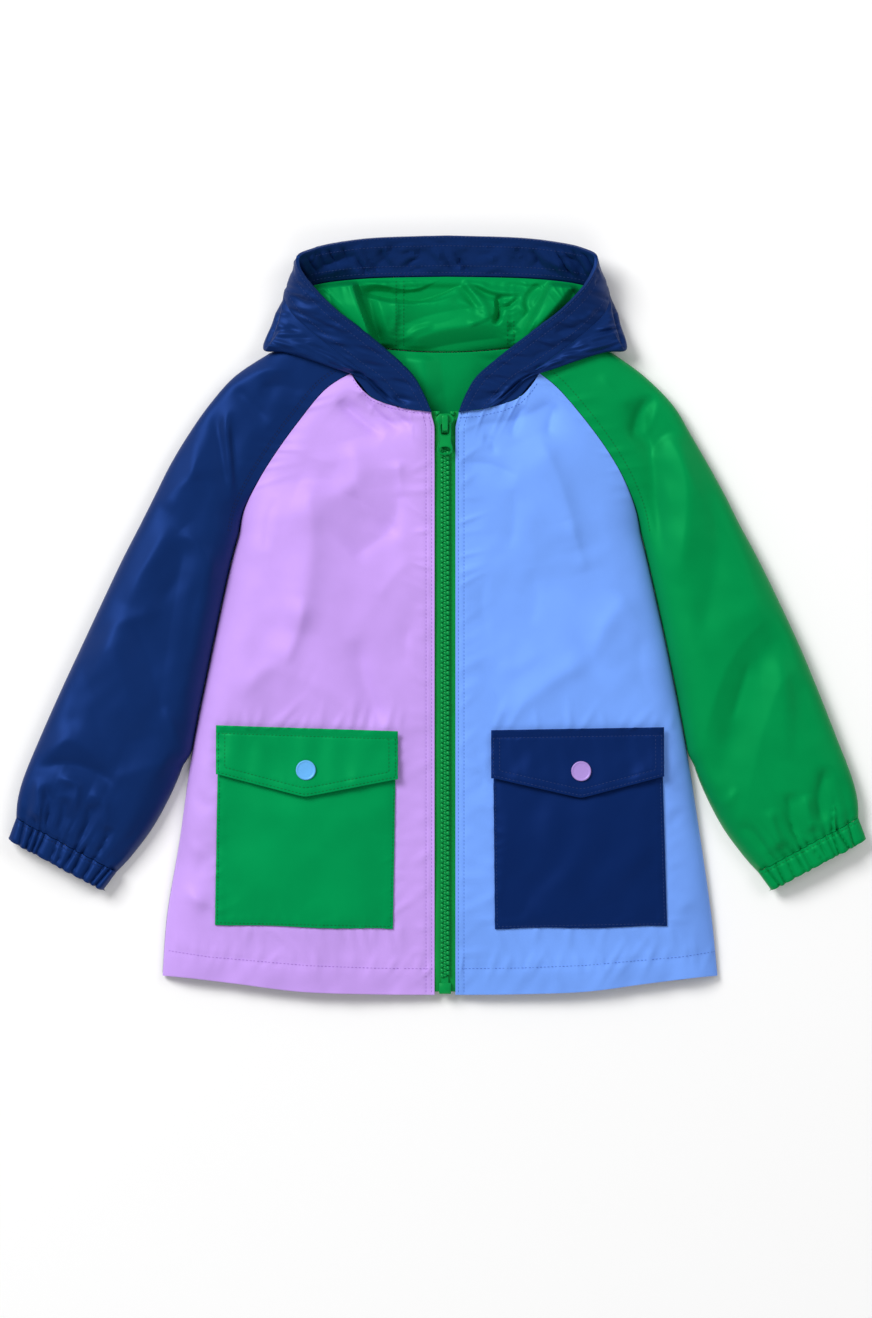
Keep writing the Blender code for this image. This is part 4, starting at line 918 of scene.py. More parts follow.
# Hood band: a facing of shell cloth folded over the hood's opening and topstitched twice, from one
# side of the neck over the crown to the other. It stands up at the sides and lies back at the crown.

BAND = np.array([                # rim x, y, z; seam x, y, z; lean: from the front neck to the crown
    (-9.3, 142.6, 18.1, -30.0, 145.4, 18.1, 0.0), (-19.6, 163.8, 20.0, -41.5, 157.0, 18.2, 0.0),
    (-30.0, 175.7, 23.5, -48.0, 165.0, 19.5, 1.0), (-43.4, 187.6, 26.5, -63.7, 175.7, 20.5, 1.8),
    (-58.8, 200.2, 29.0, -80.5, 189.0, 21.0, 2.4), (-76.3, 213.5, 30.5, -96.0, 201.6, 20.0, 2.4),
    (-91.7, 228.9, 30.5, -107.0, 212.8, 17.0, 2.2), (-101.5, 242.0, 28.5, -111.8, 223.3, 12.5, 1.2),
    (-102.2, 251.5, 25.5, -109.8, 229.0, 8.5, 1.5), (-92.4, 256.4, 21.5, -100.5, 231.0, 5.0, 2.4),
    (-77.7, 260.4, 18.5, -82.0, 235.2, 4.0, 2.4), (-48.3, 264.3, 15.5, -50.0, 238.0, 3.5, 2.0),
    (1.4, 266.0, 14.0, 1.4, 239.0, 3.4, 1.4)])
BAND_WALL, BAND_WIDTH = 2.4, 27
BAND_ROWS = (1.4, 7.2)           # the two rows of stitches along the whole rim
CROWN = len(BAND) - 1
SIDE_PANEL_END = 11.27           # place along the band at which a side panel meets the centre panel
BAND_CREASES = [                 # on the facing at the crown, then across the sides
    (-50, 241, -45, 250, -38, 260, 1.9, 4, 5), (-30, 242, -22, 250, -15, 259, 1.9, 4, 5),
    (-10, 242, -4, 250, -7, 260, -1.8, 4, 4), (6, 242, 10, 250, 17, 259, 1.8, 4, 5),
    (28, 244, 34, 252, 37, 261, -1.6, 4, 5), (59, 242, 65, 250, 60, 259, 1.6, 3, 3),
    (64, 259, 74, 250, 88, 245, -1.6, 3, 3), (82, 254, 92, 249, 100, 242, 1.5, 3, 3),
    (-90, 245, -78, 248, -62, 254, 1.5, 3, 3), (-92, 239, -80, 243, -60, 248, -1.4, 3, 3),
    (-76, 256, -70, 249, -58, 244, 1.1, 3, 3), (44, 244, 50, 250, 48, 258, 0.9, 3, 4),
    (-107, 215, -92, 209, -78, 209, 1.0, 2, 3), (-102, 207, -88, 202, -73, 201, -1.1, 2, 3),
    (-97, 198, -84, 192, -68, 191, 1.1, 2, 3), (-88, 189, -76, 186, -64, 180, -1.1, 3, 2),
    (-80, 181, -68, 176, -56, 172, 1.0, 2, 3), (-68, 172, -58, 168, -48, 160, -0.8, 2, 3),
    (-108, 226, -98, 218, -90, 218, -0.9, 3, 2), (-54, 160, -44, 158, -36, 150, 0.8, 2, 3),
    (107, 217, 96, 208, 84, 207, 1.0, 3, 2), (98, 206, 86, 200, 76, 199, -1.0, 3, 2),
    (91, 199, 79, 193, 67, 192, 1.1, 3, 2), (82, 190, 72, 185, 60, 181, -1.0, 2, 3),
    (70, 178, 60, 174, 50, 168, 0.9, 3, 2), (60, 170, 50, 166, 42, 158, -0.8, 3, 2),
    (-56, 162, -41, 154, -24, 150, -2.4, 4, 4), (18, 150, 38, 155, 58, 165, -2.4, 4, 4)]


def band_lines(place):
    """Rim and seam of the band; place counts rows from the right front neck over the crown to the left."""
    place = np.asarray(place, float)
    row = through(BAND, np.where(place <= CROWN, place, 2 * CROWN - place))
    rim, seam, lean = row[..., 0:3].copy(), row[..., 3:6].copy(), row[..., 6]
    for line in (rim, seam):
        line[..., 0] = np.where(place > CROWN, 2 * lean - line[..., 0], line[..., 0])
    return rim, seam


def band_point(place, share, lift):
    """Point on the band: share runs from its rim to its seam, lift stands off its middle."""
    place = np.asarray(place, float)
    rim, seam = band_lines(place)
    ahead = sum(band_lines(np.minimum(place + 0.25, 2 * CROWN))) / 2
    behind = sum(band_lines(np.maximum(place - 0.25, 0))) / 2
    outward = np.cross(ahead - behind, seam - rim)
    outward /= np.linalg.norm(outward, axis=-1, keepdims=True)
    share, lift = np.asarray(share, float)[..., None], np.asarray(lift, float)[..., None]
    return rim + (seam - rim) * share + outward * lift


def run_in_space(line):
    """Distance along a line of points (x, y, z), at each of them."""
    return np.concatenate([[0], np.cumsum(np.linalg.norm(np.diff(line, axis=0), axis=-1))])


def band_points(rows=360, across=24):
    place = np.linspace(0, 2 * CROWN, rows)[:, None] + np.zeros(across)
    share = np.linspace(0, 1, across)[None] + np.zeros((rows, 1))
    face = band_point(place, share, 0 * share + BAND_WALL / 2)
    rim = band_lines(place[:, 0])[0]
    run = run_in_space(rim)[:, None]
    off = BAND_WIDTH * share
    x, y = face[..., 0], face[..., 1]
    lift = creases(x, y, BAND_CREASES) + 1.1 * ripple(x + 0.4 * y, y * 0.35, 7, 201) * smooth((y - 236) / 8)
    lift += 0.65 * ripple(x * 0.25, y + 0.2 * x, 6, 204) * smooth((240 - y) / 14)
    lift = lift * smooth((off - 1.5) / 5) * smooth((BAND_WIDTH - off) / 4)
    lift += 0.55 * tucks(run, off - 5.5, 0, run[-1, 0], 6, 4.5, 203)
    lift = lift - 0.2 * bell(off - BAND_ROWS[1], 1.2) - 0.25 * bell(off - BAND_ROWS[0], 1.0)
    lift = lift * smooth(run / 8) * smooth((run[-1] - run) / 8)
    return band_point(place, share, BAND_WALL / 2 + lift)


hood_navy = coated_cloth("navy hood", (13, 38, 87), rough=0.44, crumple=0.3)
hood_band = panel("hood_band_facing", band_points(), BAND_WALL, hood_navy, ["hood_band"],
                  flipped=True)


# Hood sides and centre: the hood's shell, one side panel each side of a flat centre panel. A side
# leaves the band, folds over at the hood's outline and comes back under to the neck seam.

HOOD_SIDE = np.array([           # place along the band; fold x, y, z; its radius; end x, y, z; lean
    (0.05, -34.2, 146.3, 18.4, 1.1, -34.2, 146.6, 17.1, 0.0),
    (0.35, -38.8, 149.8, 18.4, 1.3, -40.4, 148.5, 17.1, 0.0),
    (1.0, -48.3, 157.6, 18.6, 1.5, -52.0, 153.9, 17.2, 0.0),
    (2.0, -57.5, 166.4, 18.9, 1.7, -61.0, 164.4, 17.3, 0.0),
    (3.0, -76.0, 172.6, 19.3, 2.3, -74.0, 177.0, 17.4, 0.0),
    (4.0, -95.0, 179.2, 19.1, 2.6, -97.0, 190.0, 16.8, 0.0),
    (5.0, -112.5, 184.4, 17.0, 2.8, -112.0, 192.0, 14.6, 0.0),
    (6.0, -127.2, 186.6, 13.2, 4.0, -120.0, 192.6, 7.5, 0.0),
    (7.0, -121.5, 204.0, 8.8, 4.4, -115.0, 192.0, 2.0, 0.8),
    (8.0, -114.8, 219.0, 5.6, 4.0, -106.0, 190.6, 0.2, 1.6),
    (9.0, -99.5, 222.0, 1.8, 1.6, -92.0, 189.8, 0.2, 2.0),
    (10.0, -80.0, 228.0, 1.5, 1.5, -68.0, 189.4, 0.2, 1.0),
    (SIDE_PANEL_END, -37.3, 230.0, 1.5, 1.5, -37.4, 189.2, 0.2, 0.0)])
FIRST_PLACE = 0.05
ROLLED_TO, FLAT_FROM = 7.5, 8.0  # the panel is folded over up to the first place, flat from the second
HOOD_CREASES = [                 # near the outline and the far row of stitches, right then left
    (-124, 190, -104, 189, -86, 194, 1.1, 4, 6), (-112, 202, -100, 197, -84, 200, -1.1, 4, 5),
    (-112, 214, -104, 208, -94, 208, 1.0, 3, 4), (-96, 190, -82, 184, -68, 180, -1.0, 4, 5),
    (-84, 180, -72, 175, -60, 172, 0.9, 3, 4), (-66, 172, -50, 159, -30, 152, -8.0, 4, 4),
    (-104, 224, -100, 214, -96, 206, -0.9, 4, 3),
    (120, 192, 102, 189, 88, 194, 1.1, 6, 4), (112, 206, 100, 198, 86, 202, -1.1, 5, 4),
    (113, 218, 106, 209, 96, 208, 1.2, 4, 3), (94, 192, 82, 186, 68, 182, -1.0, 5, 4),
    (84, 180, 72, 176, 60, 172, 0.9, 4, 3), (66, 170, 48, 158, 22, 150, -8.0, 4, 4),
    (104, 224, 99, 214, 94, 206, -0.9, 3, 4)]


def hood_row(place):
    return through(HOOD_SIDE, np.interp(place, HOOD_SIDE[:, 0], np.arange(len(HOOD_SIDE))))


def hood_path(side, place):
    """Points of a side panel's outer face, from the band to the neck seam."""
    if ROLLED_TO < place < FLAT_FROM:
        t = (place - ROLLED_TO) / (FLAT_FROM - ROLLED_TO)
        return mix(hood_path(side, ROLLED_TO), hood_path(side, FLAT_FROM), t)
    _, fold_x, fold_y, fold_z, radius, end_x, end_y, end_z, lean = hood_row(place)
    on_band = place if side == RIGHT else 2 * CROWN - place
    start, rim = band_point(on_band, 1.0, BAND_WALL / 2), band_point(on_band, 0.0, BAND_WALL / 2)
    start = start + (start - rim) / np.linalg.norm(start - rim) * 0.06
    end = np.array([onto_side(end_x, lean, side), end_y, end_z])
    fold = np.array([onto_side(fold_x, lean, side), fold_y, fold_z])
    if place >= FLAT_FROM:
        fold[2] = end_z
        return np.array([start + (fold - start) * t for t in (0, 0.2, 0.4, 0.6, 0.8, 1)]
                        + [fold + (end - fold) * t for t in (0.15, 0.35, 0.55, 0.75, 1)])
    ahead, behind = hood_row(place + 0.3), hood_row(max(place - 0.3, FIRST_PLACE))
    along = ahead[1:3] - behind[1:3]
    along /= np.hypot(*along)
    outward = np.array([side * along[1], along[0], 0])
    centre = fold - outward * radius
    drop = max(start[2] - centre[2] - radius, 0)
    onto_fold = math.pi / 2 - math.atan2(drop, np.hypot(*(start - centre)[:2]))
    round_fold = [centre + (outward * math.cos(turn) + np.array([0, 0, math.sin(turn)])) * radius
                  for turn in (onto_fold, onto_fold / 2, 0.08, -math.pi / 4, -math.pi / 2)]
    points = [start + (round_fold[0] - start) * t for t in (0, 0.5, 0.86)] + round_fold
    return np.array(points + [points[-1] + (end - points[-1]) * t for t in (0.35, 0.7, 1)])


def hood_side_points(side, rows=190, over=50, under=14):
    """Rows along the band; the part over the fold is where the creases are."""
    across = np.concatenate([np.linspace(0, 3, over, endpoint=False), np.linspace(3, 10, under)])
    places = np.linspace(FIRST_PLACE, SIDE_PANEL_END, rows)
    grid = np.array([through(hood_path(side, place), across) for place in places])
    x, y, t = grid[..., 0], grid[..., 1], across[None] + np.zeros((rows, 1))
    start = grid[:, 0]
    far = np.linalg.norm(grid - start[:, None], axis=-1)
    run = run_in_space(start)[:, None]
    to_fold = np.clip(far / far[:, over:over + 1], 0, 1)
    puff = 1.4 * np.sin(0.83 * np.pi * to_fold) ** 2 * smooth(run / 50)
    lift = creases(x, y, HOOD_CREASES) + 0.5 * ripple(run * 0.7, far, 17, 210 + side)
    lift += 0.9 * ripple(x * 0.25, y - 0.2 * x * side, 5.5, 220 + side)
    lift = (lift + puff) * smooth(far / 7) * smooth((4.9 - t) / 2.2) * smooth(run / 10)
    grid[..., 2] += lift * smooth((SIDE_PANEL_END - places[:, None]) / 2)
    return grid


stitch_runs = []
hood_sides = {}
for side in SIDES:
    piece = panel(f"hood_side_{SIDES[side]}_panel", hood_side_points(side), LINING, hood_navy,
                  ["hood_side_" + SIDES[side]], flipped=side == RIGHT)
    hood_sides[side] = piece
SIDE_ROW, CROWN_ROW = (0.08, 6.9), (9.4, 2 * CROWN - 9.4)
CROWN_ONLY = 25.8                # a row that the hood has at its crown alone
for off in (*BAND_ROWS, 21, CROWN_ONLY):
    for row in (CROWN_ROW,) if off == CROWN_ONLY else (SIDE_ROW, CROWN_ROW, 2 * CROWN - np.array(SIDE_ROW)):
        line = band_point(np.linspace(*row, 250), off / BAND_WIDTH, BAND_WALL / 2)
        stitch_runs += laid_on([hood_band], line[:, :2], lift=0.1, wall=BAND_WALL)
sew("hood_stitches", stitch_runs, navy_thread)


def hood_centre_points(rows=50, columns=60):
    right, left = [through(hood_path(s, SIDE_PANEL_END), np.linspace(0, 10, rows)) for s in SIDES]
    across, down = np.linspace(0, 1, columns)[None], np.linspace(0, 1, rows)[:, None]
    gap = np.array([1.3 * SEAM, 0, 0])
    grid = mix((right + gap)[:, None], (left - gap)[:, None], across[..., None])
    edge = band_point(mix(SIDE_PANEL_END, 2 * CROWN - SIDE_PANEL_END, across[0]), 1.0, BAND_WALL / 2)
    top, foot = edge[:, 1] - 2.4 * SEAM, back_neck_y(grid[-1, :, 0]) + 2 * SEAM
    flat = mix(top[None], foot[None], down)
    grid[..., 1] = mix(grid[..., 1], flat, smooth(np.abs(down - 0.5) * 2))
    rise = np.maximum(0.4 * ripple(grid[..., 0], grid[..., 1], 26, 240), 0)
    grid[..., 2] += rise * smooth(down * 5) * smooth((1 - down) * 5) * smooth(across * 8) * smooth(
        (1 - across) * 8)
    return grid


piece = panel("hood_centre_panel", hood_centre_points(), LINING, hood_navy, ["hood_centre"])


# Hood lining: smooth green taffeta, sewn to the facing above and the back neck seam below, with a
# topstitched seam each side of its middle panel. It is full, so it stands in folds inside the hood.

LINING_FACE, LINING_RISE, LINING_PUFF = 2.9, 6.5, 6.8
LINING_SEAMS = (-31.6, 46.0)
LINING_CREASES = [
    (-98, 256, -76, 215, -44, 176, 9.0, 46, 14), (100, 248, 76, 215, 48, 184, 7.0, 12, 12),
    (-70, 256, -61, 217, -42, 174, 10.0, 4.5, 17), (-56, 230, -50, 208, -44, 188, -5.5, 7, 7),
    (-66, 230, -22, 222, 16, 238, -9.0, 7, 4), (-64, 234, -25, 234, 14, 239, 2.0, 3, 4),
    (-44, 224, -12, 219, 12, 226, 3.0, 2, 15), (9, 239, 22, 224, 33, 208, 2.6, 5, 4),
    (10, 233, 18, 222, 24, 210, -1.8, 3, 4), (12, 238, 34, 228, 58, 227, 2.2, 4, 3),
    (14, 233, 32, 224, 48, 222, -1.8, 3, 3), (37, 225, 38, 214, 35, 203, -6.0, 3, 3),
    (38, 216, 45, 217, 53, 224, -3.0, 3, 2), (8, 223, 20, 216, 32, 210, 1.6, 3, 4),
    (16, 204, 24, 207, 33, 210, 1.4, 4, 3), (80, 244, 70, 221, 53, 187, 7.5, 16, 4),
    (70, 234, 58, 222, 60, 204, -2.2, 4, 4), (50, 218, 60, 209, 55, 196, 1.8, 4, 4),
    (-30, 190, -4, 200, 48, 207, 4.2, 12, 11), (-30, 192, -20, 200, -8, 204, 1.4, 3, 4),
    (-36, 230, -34, 214, -37, 196, 1.0, 3, 3), (-84, 240, -74, 234, -66, 236, 1.4, 3, 4),
    (84, 240, 92, 232, 96, 222, -1.4, 4, 4), (48, 240, 56, 234, 70, 236, 1.6, 4, 3),
    (-30, 240, -10, 236, 8, 240, -1.2, 3, 3), (44, 204, 50, 198, 47, 190, -1.6, 3, 3)]


def hood_lining_points(rows=84, columns=250):
    share = np.linspace(0, 1, rows)[:, None] + np.zeros(columns)
    place = np.linspace(9.2, 2 * CROWN - 9.2, columns)[None] + np.zeros((rows, 1))
    edge = band_point(place, 0 * place + 1.0, 0 * place - BAND_WALL / 2)
    middle = BAND[CROWN, 0]
    x = middle + (edge[..., 0] - middle) * (1 + 0.05 * np.sin(np.pi * share))
    low = back_neck_y(edge[..., 0]) + SEAM
    y = mix(edge[..., 1] - 2.6 * SEAM, low, share)
    lying = LINING_FACE + LINING_RISE * smooth((np.abs(x) - 82) / 20)
    lying = lying + LINING_PUFF * np.sin(np.pi * np.clip(share, 0, 1)) ** 0.7
    z = mix(edge[..., 2], lying, smooth(share / 0.4))
    fold = 1.3 * creases(x, y, LINING_CREASES, 0.12) + 0.4 * ripple(x, y, 30, 300)
    for seam in LINING_SEAMS:
        fold -= 0.6 * bell(x - seam, 1.1)
        fold += 0.5 * tucks(y, np.abs(x - seam), 188, 240, 5, 5, 310)
    fold += 1.2 * tucks(x, share * 40, -110, 110, 7, 8, 320) * smooth(share * 12)
    fold = fold * smooth(share * 9) * smooth((1 - share) * 14)
    return np.stack([x, y, np.maximum(z + fold, 2.6 + 2.2 * smooth((y - 229) / 5))], -1)


hood_green = coated_cloth("hood lining", (0, 138, 69), rough=0.46, crumple=0.15, shine=0.4)
hood_lining = panel("hood_lining_panel", hood_lining_points(), LINING, hood_green, ["hood_lining"],
                    flipped=True)
rows = [[(LINING_SEAMS[0] + off, 234), (LINING_SEAMS[0] + off, 190)] for off in (-2.7, 2.7)]
rows += [[(LINING_SEAMS[1] + off, 206), (LINING_SEAMS[1] + off, 191)] for off in (-2.2, 2.2)]
lining_thread = thread("lining thread", (0, 96, 48))
sew("hood_lining_stitches", [run for row in rows for run in laid_on([hood_lining], row, step=1.0)],
    lining_thread)


# Pockets: a patch bag with turned and topstitched edges on each front, under a pointed flap of two
# layers, sewn on along its own top edge and closed with a snap.

POCKETS = {                      # flap's top in and out, its tip, bag's foot in and out
    RIGHT: [(-32.9, -80.5), (-160.3, -76.3), (-98.0, -126.7), (-36.4, -219.1), (-161.0, -216.3)],
    LEFT: [(32.2, -79.8), (153.3, -77.7), (95.2, -127.4), (35.0, -219.1), (155.4, -217.0)]}
FLAP_DROP, POCKET_HIDDEN = 33.8, 14.0
FLAP_STRIP = 5.0                 # the flap's top edge is sewn down this far from it
FLAP_ROWS = (1.8, 6.3)           # the two rows of stitches along its other edges
FLAP_WIDTH = 127


def bag_points(side, steps=80):
    top_in, top_out, _, foot_in, foot_out = [np.array(corner) for corner in POCKETS[side]]
    top_in = top_in + (side * 1.5, -POCKET_HIDDEN)
    top_out = top_out + (-side * 1.5, -POCKET_HIDDEN)
    u, v = np.linspace(0, 1, steps)[None, :, None], np.linspace(0, 1, steps)[:, None, None]
    flat = mix(mix(foot_out, foot_in, u), mix(top_out, top_in, u), v)
    x, y, u, v = flat[..., 0], flat[..., 1], u[..., 0], v[..., 0]
    width, height = abs(foot_out[0] - foot_in[0]), top_in[1] - foot_in[1]
    sides = np.minimum(np.minimum(u, 1 - u) * width, v * height)
    y = y + 0.5 * np.sin(u * 9 + side) * smooth(1 - v * 3) * smooth(u * 9) * smooth((1 - u) * 9)
    bare = smooth((0.80 - v) / 0.2)
    lift = 1.4 + 0.5 * smooth(sides / 5) + 1.2 * smooth(sides / 45) * bare
    lift += 0.4 * tucks(u * width, v * height - 3, 0, width, 8, 8, 401 + side) * bare
    inner, outer = u * width, (1 - u) * width
    lift += 0.4 * tucks(v * height, np.minimum(inner, outer) - 3, 0, height, 9, 8, 411 + side) * bare
    lift += 0.9 * ripple(x, y, 42, 420 + side) * smooth(sides / 10) * bare
    lift -= 0.25 * bell(sides - 2.2, 1.0)
    return np.stack([x, y, front_face(side, x, y) + np.maximum(lift, 1.35)], -1)


def flap_foot(side, u):
    """How far down the flap reaches at a share across it, with its point gently rounded."""
    top_in, top_out, tip = [np.array(c) for c in POCKETS[side][:3]]
    top = mix(top_out[1], top_in[1], u)
    tip_drop = (top_in[1] + top_out[1]) / 2 - tip[1] - FLAP_DROP
    off = np.abs(u - (tip[0] - top_out[0]) / (top_in[0] - top_out[0]))
    off = np.sqrt(off ** 2 + 0.014 ** 2) - 0.005
    return top, FLAP_DROP + tip_drop * np.clip(1 - off / 0.5, 0, 1)


def flap_points(side, across=90, down=48):
    top_in, top_out = [np.array(c) for c in POCKETS[side][:2]]
    u, v = np.linspace(0, 1, across)[None], np.linspace(1, 0, down)[:, None]
    top, drop = flap_foot(side, u)
    x, y = mix(top_out[0], top_in[0], u) + 0 * v, top - drop * v
    width = abs(top_out[0] - top_in[0])
    sides = np.minimum(np.minimum(u, 1 - u) * width, (1 - v) * drop)
    from_top = v * drop
    lift = 3.75 + 0.55 * smooth(from_top / 22) + 0.35 * np.sin(u * 7.0 + 2 * side) * smooth((v - 0.5) * 2)
    lift = lift + 1.8 * smooth((v - 0.35) / 0.65) + 0.9 * np.clip(1 - from_top / 5.0, 0, 1)
    lift = lift - 0.5 * smooth(1 - from_top / 0.7) + 0.3 * ripple(u * width, from_top * 0.4, 17, 451 + side)
    lift = lift - 0.3 * smooth(1 - sides / 1.2) - 0.4 * bell(from_top - FLAP_STRIP - 0.3, 0.8)
    for row in FLAP_ROWS:
        lift -= 0.18 * bell(sides - row, 0.9) * smooth((from_top - 6) / 3)
    lift += 0.25 * tucks(u * width, from_top - FLAP_STRIP, 0, width, 8, 6, 431 + side)
    lift += 0.18 * tucks(u * width, sides - 6, 0, width, 7, 4, 441 + side) * smooth((v - 0.3) * 3)
    return np.stack([x, y, front_face(side, x, y) + lift], -1)


pocket_green = coated_cloth("green pocket", (0, 142, 76), rough=0.46)
pocket_navy = coated_cloth("navy pocket", (8, 32, 82), rough=0.46)
flaps = {}
for side, cloth, colour, slot in ((RIGHT, pocket_green, green_thread, "pocket_green"),
                                  (LEFT, pocket_navy, navy_thread, "pocket_navy")):
    label = SIDES[side]
    bag = panel(f"pocket_{label}_bag", bag_points(side), CLOTH, cloth, ["pocket_" + label],
                flipped=side == LEFT)
    flap = panel(f"pocket_{label}_flap", flap_points(side), CLOTH, cloth, ["flap_" + label],
                 flipped=side == LEFT)
    flaps[side] = flap
    top_in, top_out, tip, foot_in, foot_out = [np.array(corner) for corner in POCKETS[side]]
    u = np.linspace(0, 1, 60)
    top, drop = flap_foot(side, u)
    x = mix(top_out[0], top_in[0], u)
    rows = [(flap, np.stack([x[1:-1], (top - FLAP_STRIP - 0.7)[1:-1]], -1))]
    for off in FLAP_ROWS:
        inner = np.linspace(off / FLAP_WIDTH, 1 - off / FLAP_WIDTH, 60)
        low, deep = flap_foot(side, inner)
        rim = np.stack([mix(top_out[0], top_in[0], inner), low - deep + off], -1)
        rim = np.concatenate([[(rim[0, 0], low[0] - 6.4)], rim, [(rim[-1, 0], low[-1] - 6.4)]])
        rows.append((flap, rim))
    corner_out, corner_in = foot_out + (-side * 1.7, 1.7), foot_in + (side * 1.7, 1.7)
    up_out, up_in = top_out + (-side * 2.6, -40), top_in + (side * 2.9, -40)
    rows.append((bag, np.array([up_out, corner_out, corner_in, up_in])))
    sew(f"pocket_{label}_stitches", [run for on, row in rows for run in laid_on([on], row)], colour)


# Snaps: a moulded cap on each flap, turned from its profile, a low disc with a rounded rim.

SNAPS = {RIGHT: (-97.3, -107.8), LEFT: (95.2, -108.5)}
SNAP_PROFILE = [(0.0, 1.6), (4.8, 1.6), (5.7, 1.65), (6.0, 1.9), (6.4, 2.0), (6.75, 1.8), (7.0, 1.2),
                (7.0, 0.4), (6.7, 0.0), (0.0, 0.0)]


def moulded_plastic(name, colour, rough=0.3):
    """Injection-moulded plastic: a faint grain and slightly uneven gloss."""
    material, tree, shader = new_material(name)
    place = add_node(tree, "ShaderNodeTexCoord"), "Object"
    uneven = add_node(tree, "ShaderNodeTexNoise", Vector=place, Scale=160)
    two_shades(tree, shader, uneven, colour, 0.9, 1.06)
    uneven_gloss(tree, shader, uneven, rough - 0.05, rough + 0.1)
    grain = add_node(tree, "ShaderNodeTexNoise", Vector=place, Scale=1600)
    bump = add_node(tree, "ShaderNodeBump", Height=(grain, "Fac"), Distance=0.02 * MM)
    tree.links.new(bump.outputs["Normal"], shader.inputs["Normal"])
    tinted_shine(shader, colour, 0.25)
    return material


def mesh_of(bm, name, sharp=None):
    """The finished mesh of a mesh being made, smooth up to an angle between its faces."""
    bmesh.ops.recalc_face_normals(bm, faces=bm.faces)
    mesh = bpy.data.meshes.new(name)
    bm.to_mesh(mesh)
    bm.free()
    mesh.shade_smooth()
    if sharp:
        mesh.set_sharp_from_angle(angle=math.radians(sharp))
    return mesh


for side, tint, colour in ((RIGHT, "blue", (104, 180, 245)), (LEFT, "lilac", (176, 146, 220))):
    label = SIDES[side]
    at, steps = SNAPS[side], 56
    z = min(h for _, _, h in laid_on([flaps[side]], [(at[0] - 5, at[1]), (at[0] + 5, at[1])])[0])
    bm = bmesh.new()
    line = [bm.verts.new(Vector((r, 0, h)) * MM) for r, h in SNAP_PROFILE]
    edges = [bm.edges.new(pair) for pair in zip(line, line[1:])]
    bmesh.ops.spin(bm, geom=line + edges, cent=(0, 0, 0), axis=(0, 0, 1), angle=math.tau, steps=steps)
    bmesh.ops.remove_doubles(bm, verts=bm.verts, dist=1e-6)
    bmesh.ops.translate(bm, verts=bm.verts, vec=Vector((*at, z)) * MM)
    finished(f"snap_{label}_cap", mesh_of(bm, "snap_cap"), moulded_plastic(f"{tint} snap", colour),
             ["snap_" + label])


# Zip tapes: woven polyester, sewn under the edge of each front, with a corded inner edge that
# carries the teeth. Above the slider the two part.

TAPE_WALL, TAPE_REACH, CHAIN_WALL = 0.8, 13.0, 2.4


def tape_top(y):
    return front_height(np.asarray(y, float)) - CLOTH - 2 * SEAM


def tape_points(side, rows=160, columns=12):
    y = np.linspace(HEM_AT_ZIP + 2.2, 143.4, rows)[:, None] + np.zeros(columns)
    inner = 0.3 + 3.2 * smooth((y - 126.0) / 13.0)
    x = mix(TAPE_REACH, inner, np.linspace(0, 1, columns)[None])
    z = tape_top(y) + 0.12 * bell(x - 5.4, 0.5) - 0.3 * smooth((x - 9) / 4)
    return np.stack([side * x, y, z], -1)


def woven_tape(name, colour):
    """Tape with fine ribs across it."""
    material = moulded_plastic(name, colour, rough=0.55)
    tree = material.node_tree
    place = tree.nodes["Texture Coordinate"], "Object"
    rib = add_node(tree, "ShaderNodeTexWave", Vector=place, Scale=760)
    rib.bands_direction = "Y"
    bump = add_node(tree, "ShaderNodeBump", Height=(rib, "Fac"), Distance=0.03 * MM)
    tree.links.new(bump.outputs["Normal"], tree.nodes["Principled BSDF"].inputs["Normal"])
    return material


tape = woven_tape("zip tape", (0, 144, 62))
for side in SIDES:
    piece = panel(f"zip_tape_{SIDES[side]}_weave", tape_points(side), TAPE_WALL, tape,
                  ["zip_tape_" + SIDES[side]], flipped=side == LEFT)


# Zip teeth: moulded plastic teeth clamped on the tapes' inner edges, alternately left and right, with
# heads that lock past the middle. A tree lays one tooth again and again along the tape.

TOOTH_PITCH, TEETH_A_SIDE = 3.5, 110
MOULDED_EDGE = 50                # degrees between faces above which a moulding's edge is sharp


def rounded_block(bm, corner, other, soft, segments=2):
    """A block between two opposite corners with its edges rounded, added to a mesh being made."""
    low, high = Vector(map(min, corner, other)) * MM, Vector(map(max, corner, other)) * MM
    made = bmesh.ops.create_cube(bm, size=1)["verts"]
    for vert in made:
        vert.co = Vector([mix(a, b, v + 0.5) for a, b, v in zip(low, high, vert.co)])
    edges = list({edge for vert in made for edge in vert.link_edges})
    bmesh.ops.bevel(bm, geom=edges, offset=soft * MM, segments=segments, profile=0.5, affect="EDGES")


